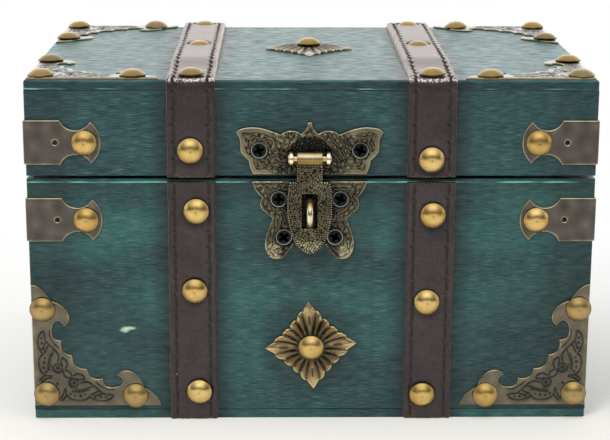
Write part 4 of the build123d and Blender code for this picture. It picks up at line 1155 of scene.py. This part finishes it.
def carveHasp(spots, offset, outer, along):
    foot = boxOf("latch_hasp")[0].z
    ridges = 1 - tracks(labyrinth(spots, latch["fineWorm"], 31), latch["fineTrack"])
    beads = ease(np.cos(2 * math.pi * along / latch["bead"]), *latch["beadEdge"])
    beads = beads * (1 - ease(outer, *latch["beadRim"]))
    ridges = np.maximum(ridges * ease(outer, *latch["wormRim"]), beads)
    slotRim = (1 - ease(offset, *latch["slotEdge"])) * ease(outer, *latch["slotInner"])
    tip = 1 - ease(spots[:, 1] - foot, *latch["tongueTip"])
    relief = toned(latch["tongueTone"], ridges=ridges, beads=beads, tip=tip * ridges, slotRim=slotRim)
    return latch["thickness"] - latch["depth"] * (1 - ridges), relief


for cadName, name, body, carve, step in (
    ("latch_upper_plate", "latch_wings_upper", "lid", carveUpper, latch["step"]),
    ("latch_lower_plate", "latch_wings_lower", "base", carveLower, latch["step"]),
    ("latch_hasp", "latch_tongue", "hasp", carveHasp, latch["fineStep"]),
):
    loops, outerFace = flatLoops(cadName, front)
    origin = front * (outerFace - latch["thickness"])
    piece = setPlate(name, plateMesh(loops, step, carve), origin, *plateAxes(front), front, latchBronze)
    finishPiece(piece, body, "antique_bronze", cadName)
print("latch cast")

# Straps: closed leather bands that follow the wood, rolled at their edges and sunk along seams and at nails
strap = {
    "step": 0.6, "columns": 72, "seamInset": 2.7, "seamWidth": 0.75, "seamDepth": 0.3, "seamEnd": 3.6,
    "pitch": 6.4, "slant": 12.0, "holeSize": 0.55, "holeDepth": 0.2, "edgeRoll": 0.75, "rollShare": 0.72,
    "bendRadius": 1.2, "bendThin": 0.45, "bendReach": 2.6, "swell": 1.9, "swellStart": (0.1, 0.26),
    "swellEnd": (0.97, 1.0), "nailPress": 0.3, "nailReach": 1.6, "least": 0.25, "underside": 0.02,
    "wave": 23.0, "waveHeight": 0.035, "ripple": 5.0, "rippleHeight": 0.007, "edgeWaver": 0.08,
    "edgeWaves": (17.0, 19.0), "fray": 0.22, "frayLength": 2.4, "frayLimit": 0.45, "meanSlant": 0.75,
    "rowEnd": 0.4, "rollPower": 2.2, "swellDip": 0.12, "swellEdge": 0.35, "nailSink": 0.1, "nailNear": 1.0,
    # how pale the sewn rows, their holes, the front bend and the long edges are: painted glints, scuffs and
    # sheen
    "seamGlints": 0.42, "holeGlints": 0.6, "bendScuffAndGlint": 0.75, "edgeWearAndSheen": 0.62, "glintSize": (0.5, 0.4),
    "glintShift": 0.12, "bendScuffAndGlintAt": -0.9, "bendScuffAndGlintWidth": 1.3, "edgeWearAndSheenWidth": 0.8,
}


# the line that a strap's underside follows, as rows of y, z, outward normal and length along it
def strapLine(low, high, overLid):
    step, bend = strap["step"], strap["bendRadius"]
    if not overLid:
        wall = high.y if high.y < 0 else low.y
        heights = np.linspace(low.z, high.z, int((high.z - low.z) / step))
        flat = np.ones(len(heights))
        return np.stack((wall * flat, heights, math.copysign(1, wall) * flat, 0 * flat, heights - low.z), 1)
    foot, near, far, roof = low.z, woodLow.y, woodHigh.y, lidHigh.z

    def bent(middleY, start, end):
        ways = [(math.cos(turn), math.sin(turn)) for turn in np.radians(np.linspace(start, end, 9))]
        return [(middleY + bend * ny, roof - bend + bend * nz, ny, nz) for ny, nz in ways]

    rows = [(near, height, -1, 0) for height in np.arange(foot, roof - bend, step)]
    rows += bent(near + bend, 180, 90)
    rows += [(depth, roof, 0, 1) for depth in np.arange(near + bend + step, far - bend, step)]
    rows += bent(far - bend, 90, 0)
    rows += [(far, height, 1, 0) for height in np.arange(roof - bend - step, foot, -step)]
    rows = np.array(rows)
    lengths = np.concatenate(([0], np.cumsum(np.linalg.norm(np.diff(rows[:, :2], axis=0), axis=1))))
    return np.hstack((rows, lengths[:, None]))


def leatherStrap(cadName, name, body, seed):
    low, high = boxOf(cadName)
    overLid = body == "lid"
    line = strapLine(low, high, overLid)
    thickness = high.z - lidHigh.z if overLid else high.y - low.y
    middle, half = (low.x + high.x) / 2, (high.x - low.x) / 2
    across = np.linspace(-1, 1, strap["columns"]) * half
    along = line[:, 4]
    length, offMiddle = (axis.ravel() for axis in np.meshgrid(along, across, indexing="ij"))
    grid = np.stack((length, offMiddle), 1)
    seam = half - strap["seamInset"]
    seamFirst, seamLast = np.searchsorted(along, (strap["seamEnd"], along[-1] - strap["seamEnd"]))
    seamLength = along[seamLast] - along[seamFirst]
    stitchCount = int(seamLength / strap["pitch"])
    spacing = seamLength / stitchCount
    phase = (length - along[seamFirst]) / spacing
    onSeam = (phase > -strap["rowEnd"]) & (phase < stitchCount + strap["rowEnd"])
    # each stitch lies slantwise, so the sewn row is a saw-toothed line
    slope = math.tan(math.radians(strap["meanSlant"] * strap["slant"]))
    saw = ((phase + 0.5) % 1 - 0.5) * spacing * slope
    offSeam = np.minimum(np.abs(offMiddle - seam - saw), np.abs(offMiddle + seam - saw))
    offRow = np.abs(np.abs(offMiddle) - seam)
    fromEdge = half - np.abs(offMiddle)
    # the holes are sunk a little and painted black, the shade inside them
    holed = onSeam * softLine((phase % 1 - 0.5) * spacing, strap["holeSize"], 4)
    holed = holed * softLine(offRow, strap["holeSize"], 4)
    rolled = strap["rollShare"] * np.clip(1 - fromEdge / strap["edgeRoll"], 0, 1) ** strap["rollPower"]
    heights = thickness - thickness * rolled
    heights -= strap["seamDepth"] * softLine(offSeam, strap["seamWidth"]) + strap["holeDepth"] * holed
    heights += strap["waveHeight"] * labyrinth(grid, strap["wave"], seed)
    heights += strap["rippleHeight"] * labyrinth(grid, strap["ripple"], seed + 1)
    sewn = onSeam * softLine(offSeam, strap["seamWidth"], 4)
    # painted glints: pale flecks along the sewn rows and just beside each hole
    holeLength, holeWidth = strap["glintSize"]
    pricked = softLine(((phase + strap["glintShift"]) % 1 - 0.5) * spacing, holeLength, 4)
    pricked = pricked * softLine(offRow, holeWidth, 4)
    wear = np.maximum(strap["seamGlints"] * sewn, strap["holeGlints"] * onSeam * pricked)
    if overLid:
        roofRows = np.flatnonzero(line[:, 3] > 0.99)
        roofStart, roofEnd = along[roofRows[0]], along[roofRows[-1]]
        for bendAt in (roofStart, roofEnd):
            heights -= strap["bendThin"] * softLine(length - bendAt, strap["bendReach"])
        onRoof = (length > roofStart) & (length < roofEnd)
        share = (length - roofStart) / (roofEnd - roofStart)
        # the leather stands off the lid between its first and last nails, a little less at its edges
        puffed = strap["swell"] * between(share, strap["swellStart"], strap["swellEnd"])
        puffed = puffed * (1 - strap["swellDip"] * np.cos(np.clip(share, 0, 1) * 2 * math.pi) ** 2)
        heights += onRoof * puffed * (1 - strap["swellEdge"] * (np.abs(offMiddle) / half) ** 4)
        # pale specks at the front bend are scuffs with painted glints; the pale long edges on top are painted
        # sheen with wear
        atBend = softLine(length - roofStart - strap["bendScuffAndGlintAt"], strap["bendScuffAndGlintWidth"])
        atEdge = onRoof * softLine(fromEdge, strap["edgeWearAndSheenWidth"])
        wear = np.max((wear, strap["bendScuffAndGlint"] * atBend, strap["edgeWearAndSheen"] * atEdge), axis=0)
    for x, y, z in seatsOf([body + "_strap_nails"], nail["height"])[0] / mm:
        offLine = np.hypot(line[:, 0] + line[:, 2] * thickness - y, line[:, 1] + line[:, 3] * thickness - z)
        if abs(x - middle) < half and offLine.min() < strap["nailNear"]:
            away = np.hypot(length - along[np.argmin(offLine)], offMiddle - x + middle)
            sunk = np.minimum(heights, thickness - strap["nailSink"])
            heights = np.where(away < nail["radius"], sunk, heights)
            heights -= strap["nailPress"] * softLine(np.maximum(away - nail["radius"], 0), strap["nailReach"])
    heights = np.maximum(heights, strap["least"]).reshape(len(line), -1)
    # its long edges waver, and its cut ends are frayed, never past the strap's length
    edges = [strap["edgeWaver"] * labyrinth(np.stack((along, along * 0), 1), wave, seed + more)
             for more, wave in enumerate(strap["edgeWaves"], 2)]
    fray = strap["fray"] * np.abs(labyrinth(np.stack((across, across * 0), 1), strap["frayLength"], seed + 4))
    frays = np.zeros((len(line), len(across)))
    frays[0] = np.minimum(fray, strap["frayLimit"])
    frays[-1] = -frays[0]
    rows = []
    for (y, z, ny, nz, _), height, fray, left, right in zip(line, heights, frays, *edges):
        x = middle + across + np.where(across < 0, left, right) * np.abs(across) / half
        flowY, flowZ = (nz, -ny) if overLid else (0, 1)
        ring = np.stack((x, y + ny * height + flowY * fray, z + nz * height + flowZ * fray), 1)
        under = strap["underside"]
        rows.append(np.vstack((ring, [(end, y + ny * under, z + nz * under) for end in (x[-1], x[0])])))
    piece = tubeMesh(name, rows, strapFinish, sharpAngle=60)
    for attribute, values in (("wear", wear), ("seam", sewn), ("hole", holed)):
        values = np.hstack((values.reshape(len(line), -1), np.zeros((len(line), 2))))
        addAttribute(piece, attribute, values.ravel())
    finishPiece(piece, body, "strap_leather", cadName)
    sewnRows = slice(seamFirst, seamLast + 1)
    columns = [np.argmin(np.abs(across - place)) for place in (-seam, seam)]
    return [(np.array(rows)[sewnRows, column], line[sewnRows, 2:4]) for column in columns]


# stitches along a seam: its line becomes a curve, is cut to the pitch, and each cut gets a slanted stitch
def stitchTree():
    tree, given, facing = startTree("sew stitches", Seams="Geometry", Pitch="Float", Slant="Float")
    curve = addNode(tree, "GeometryNodeMeshToCurve", (given["Seams"],))
    cut = addNode(tree, "GeometryNodeResampleCurve", {"Curve": curve, "Length": given["Pitch"]},
                  mode="LENGTH")
    tangent = addNode(tree, "GeometryNodeInputTangent")
    lie = addNode(tree, "FunctionNodeAxesToRotation", (facing, tangent), primary_axis="Z", secondary_axis="X")
    least = addNode(tree, "Math", (given["Slant"], 0.5), operation="MULTIPLY")
    slant = addNode(tree, "FunctionNodeRandomValue", {2: least, 3: given["Slant"], "Seed": given["Seed"]})
    return endTree(tree, given, cut, lie, addNode(tree, "CombineXYZ", {2: slant}))


# one stitch: a short flattened thread, lying along X
stitch = {"length": 5.6, "width": 1.5, "height": 0.7, "sides": 6, "seed": 4,
          "rings": (-0.98, -0.75, 0.0, 0.75, 0.98)}
turns = np.arange(stitch["sides"]) * 2 * math.pi / stitch["sides"]
stitchRings = []
for share in stitch["rings"]:
    girth = math.sqrt(1 - share ** 2)
    stitchRings.append(np.stack((np.full(len(turns), share * stitch["length"] / 2),
                                 girth * np.cos(turns) * stitch["width"] / 2,
                                 girth * np.sin(turns) * stitch["height"] / 2), 1))
oneStitch = tubeMesh("oneStitch", stitchRings, threadFinish)
sewStitches = stitchTree()
for body, runs in (("base", ("base_front", "base_back")), ("lid", ("lid",))):
    points, facings, edges = [], [], []
    straps = [f"{run}_strap_{sideName}" for run in runs for _, sideName in bothSides]
    for index, cadName in enumerate(straps):
        seams = leatherStrap(cadName, cadName.replace("strap", "leather"), body, 50 + 7 * index)
        for line, normals in seams:
            edges += [(len(points) + place, len(points) + place + 1) for place in range(len(line) - 1)]
            points += list(line * mm)
            facings += [(0, ny, nz) for ny, nz in normals]
    piece = seatObject("stitches_" + body, points, facings, edges)
    runTree(piece, sewStitches, Shape=oneStitch, Finish=threadFinish, Pitch=strap["pitch"] * mm,
            Slant=math.radians(strap["slant"]), Seed=stitch["seed"])
    finishPiece(piece, body, "strap_leather")
bpy.data.objects.remove(oneStitch)
print("straps sewn")

# Latch metalwork: the rolled barrel, the two lugs, the pin through them and the padlock staple
metalwork = {"barrelLength": 9.7, "barrelRound": 0.35, "lugWidth": 1.8, "lugInner": 6.25, "lugDiameter": 5.4,
             "lugRound": 0.55, "lugFoot": 1.0, "pinRadius": 1.2, "pinHead": 1.9, "wireSides": 20,
             # where painted light and shade lie on each, from the latch's axis or the bow's middle, and how
             # bright it is there
             "barrelLit": (-0.6, 0.6), "barrelTone": {"ground": 0.38, "rubbed": 0.25}, "lugLit": (-1.8, -0.6),
             "lugTone": {"ground": 0.62, "rubbed": 0.38}, "lugRootShade": (-0.3, 1.2), "bowHighlight": 1.5,
             "stapleTone": {"ground": 0.55, "rubbed": 0.27}}


# turns a lathed piece from Z to X and sets it on the latch's axis
def onLatchAxis(piece):
    turn = Matrix.Rotation(math.pi / 2, 4, "Y")
    piece.data.transform(Matrix.Translation(Vector((latchX, axisY, axisZ)) * mm) @ turn)
    return piece


# the depth and height of each of a piece's points, in millimetres
def depthsAndHeights(piece):
    return np.array([(vert.co.y / mm, vert.co.z / mm) for vert in piece.data.vertices]).T


half, rounding = metalwork["barrelLength"] / 2, metalwork["barrelRound"]
barrelRadius = boxOf("latch_hasp")[1].z - axisZ
barrelEnd = [(0, half), (barrelRadius - rounding, half), (barrelRadius - 0.1, half - 0.1),
             (barrelRadius, half - rounding)]
barrelProfile = [(radius, -place) for radius, place in barrelEnd] + barrelEnd[::-1]
barrel = onLatchAxis(lathe("latch_barrel", barrelProfile, litCastBrass, 48))
# painted light and shade: its upper half is painted brighter than its lower half
rubbed = ease(depthsAndHeights(barrel)[1] - axisZ, *metalwork["barrelLit"])
addAttribute(barrel, "relief", toned(metalwork["barrelTone"], rubbed=rubbed))
finishPiece(barrel, "hasp", "antique_bronze")

reach = metalwork["lugInner"] + metalwork["lugWidth"]
head, shaft = metalwork["pinHead"], metalwork["pinRadius"]
pinProfile = [(0, -reach - 0.5), (1.5, -reach - 0.45), (head, -reach - 0.25), (head, -reach), (shaft, -reach),
              (shaft, reach + 0.25), (shaft - 0.25, reach + 0.4), (0, reach + 0.4)]
pin = onLatchAxis(lathe("latch_pin_turned", pinProfile, brightBrass))
finishPiece(pin, "lid", "polished_brass", "latch_pin")

for side, sideName in bothSides:
    width, radius = metalwork["lugWidth"], metalwork["lugDiameter"] / 2
    startX = latchX + side * (metalwork["lugInner"] + width / 2) - width / 2
    footY = woodLow.y - metalwork["lugFoot"]
    outline = [(axisY + radius * math.cos(turn), axisZ + radius * math.sin(turn))
               for turn in np.radians(np.linspace(90, 270, 25))]
    outline = [(footY, axisZ + radius)] + outline + [(footY, axisZ - radius)]
    lug = bmesh.new()
    face = lug.faces.new([lug.verts.new(Vector((startX, y, z)) * mm) for y, z in outline])
    grown = bmesh.ops.extrude_face_region(lug, geom=[face])
    bmesh.ops.translate(lug, verts=[part for part in grown["geom"] if isinstance(part, bmesh.types.BMVert)],
                        vec=(width * mm, 0, 0))
    rims = [edge for edge in lug.edges if abs(edge.verts[0].co.x - edge.verts[1].co.x) < 1e-7]
    bmesh.ops.bevel(lug, geom=rims, offset=metalwork["lugRound"] * mm, segments=4, profile=0.5,
                    affect="EDGES")
    bmesh.ops.recalc_face_normals(lug, faces=lug.faces)
    mesh = bpy.data.meshes.new("latch_lug_" + sideName)
    lug.to_mesh(mesh)
    lug.free()
    shadeSmooth(mesh, sharpAngle=50)
    mesh.materials.append(litCastBrass)
    piece = newObject("latch_lug_" + sideName, mesh)
    depths, heights = depthsAndHeights(piece)
    # painted light and shade: each lug is brighter above and darker at its foot and at its root on the plate
    tone = toned(metalwork["lugTone"], rubbed=ease(heights - axisZ, *metalwork["lugLit"]))
    addAttribute(piece, "relief", tone * (1 - ease(depths - axisY, *metalwork["lugRootShade"])))
    finishPiece(piece, "lid", "antique_bronze")

stapleLow, stapleHigh = boxOf("latch_staple")
wire = (stapleHigh.x - stapleLow.x) / 2
bend = (stapleHigh.z - stapleLow.z) / 2 - wire
centre = np.array(middleOf("latch_staple"))
centre[1] = stapleLow.y + wire + bend
legs = np.linspace(stapleHigh.y - centre[1], 0.4, 6)
route = [(depth, bend, 0.0, 1.0) for depth in legs]
route += [(-bend * math.sin(turn), bend * math.cos(turn), -math.sin(turn), math.cos(turn))
          for turn in np.linspace(0, math.pi, 33)]
route += [(depth, -bend, 0.0, -1.0) for depth in legs[::-1]]
turns = np.arange(metalwork["wireSides"]) * 2 * math.pi / metalwork["wireSides"]
aside, outward = wire * np.sin(turns), wire * np.cos(turns)
stapleRings = [centre + np.stack((aside, y + outward * ny, z + outward * nz), 1) for y, z, ny, nz in route]
staple = tubeMesh("padlock_staple", stapleRings, litCastBrass)
# painted highlight: the middle of its bow is painted brighter
fromBow = np.abs(depthsAndHeights(staple)[1] - centre[2])
rubbed = 1 - ease(fromBow, metalwork["bowHighlight"], bend)
addAttribute(staple, "relief", toned(metalwork["stapleTone"], rubbed=rubbed))
finishPiece(staple, "base", "polished_brass", "latch_staple")
print("latch metalwork turned")

# Stage: a pale floor that fades to the white backdrop, plain soft light
floor = {"colour": "#F1EEE8", "reach": 9.0, "fade": (-150.0, 250.0, 0.12, 1.0)}
floorMaterial, floorTree, floorShader, floorSize = newMaterial(
    "pale floor cloth", Roughness=0.9, Specular_IOR_Level=0.1, Base_Color=linear(floor["colour"]))
rays = addNode(floorTree, "LightPath").outputs
seen = addNode(floorTree, "Math", (rays["Is Camera Ray"], rays["Is Glossy Ray"]), operation="ADD",
               use_clamp=True)
farAway = addNode(floorTree, "SeparateXYZ", (floorSize,)).outputs[1]
fade = addNode(floorTree, "MapRange", (farAway, *floor["fade"]), interpolation_type="SMOOTHSTEP")
share = addNode(floorTree, "Math", (fade, seen), operation="MULTIPLY")
white = addNode(floorTree, "Emission", {"Color": (1, 1, 1, 1), "Strength": 1.0})
blend = addNode(floorTree, "MixShader", (share, floorShader, white))
feed(floorTree, floorTree.nodes["Material Output"], {"Surface": blend})
floorCorners = [(x * floor["reach"], y * floor["reach"], 0) for x, y in ((-1, -1), (1, -1), (1, 1), (-1, 1))]
meshObject("floor", floorCorners, [(0, 1, 2, 3)], floorMaterial)

# the room that polished metal mirrors, by the height of the view: a pale backdrop behind, a window in front
# with a dimmer ceiling above it and dimmer walls beside it
room = {"front": (-0.1, -0.4), "backdrop": (0.3, 0.75, 1.6, 0.85), "window": (0.2, 0.75, 0.2, 1.75),
        "ceiling": (0.94, 1.0, 1.75, 0.9), "walls": (0.25, 0.75, 1.0, 0.4), "softLight": 0.3}
world = bpy.data.worlds.new("studio")
bpy.context.scene.world = world
world.use_nodes = True
sky = world.node_tree
sky.nodes.clear()
rays = addNode(sky, "LightPath").outputs
seen = addNode(sky, "Math", (rays["Is Camera Ray"], rays["Is Transmission Ray"]), operation="ADD",
               use_clamp=True)
x, y, z = addNode(sky, "SeparateXYZ", (addNode(sky, "TexCoord").outputs["Generated"],)).outputs
inFront = addNode(sky, "MapRange", (y, *room["front"]))
backdrop, window, ceiling = (
    addNode(sky, "MapRange", (z, *room[key])) for key in ("backdrop", "window", "ceiling"))
facing = addNode(sky, "Math", (window, ceiling), operation="MINIMUM")
walls = addNode(sky, "MapRange", (addNode(sky, "Math", (x,), operation="ABSOLUTE"), *room["walls"]))
framed = addNode(sky, "Math", (facing, walls), operation="MULTIPLY")
mirrored = addNode(sky, "Mix", {0: inFront, 2: backdrop, 3: framed})
softLight, roomLight, white = (
    addNode(sky, "Background", {"Color": colour, "Strength": strength})
    for colour, strength in (((1, 1, 1, 1), room["softLight"]), (mirrored, 1.0), ((1, 1, 1, 1), 1.0)))
lit = addNode(sky, "MixShader", (rays["Is Glossy Ray"], softLight, roomLight))
addNode(sky, "OutputWorld", {"Surface": addNode(sky, "MixShader", (seen, lit, white))})

lamps = {"overhead": {"place": (0.0, -0.1, 1.1), "target": (0, 0, 0.1), "size": 1.0, "watts": 8.0},
         "key": {"place": (-0.4, -0.7, 1.0), "target": (0, 0, 0.06), "size": 0.4, "watts": 6.5}}
for name, lamp in lamps.items():
    light = bpy.data.lights.new(name, "AREA")
    light.shape = "DISK"
    light.size = lamp["size"]
    light.energy = lamp["watts"]
    piece = newObject(name, light)
    piece.location = lamp["place"]
    piece.visible_glossy = False  # polished metal mirrors the plain room, not the lamps
    beam = Vector(lamp["target"]) - Vector(lamp["place"])
    piece.rotation_euler = beam.to_track_quat("-Z", "Y").to_euler()
print("stage lit")
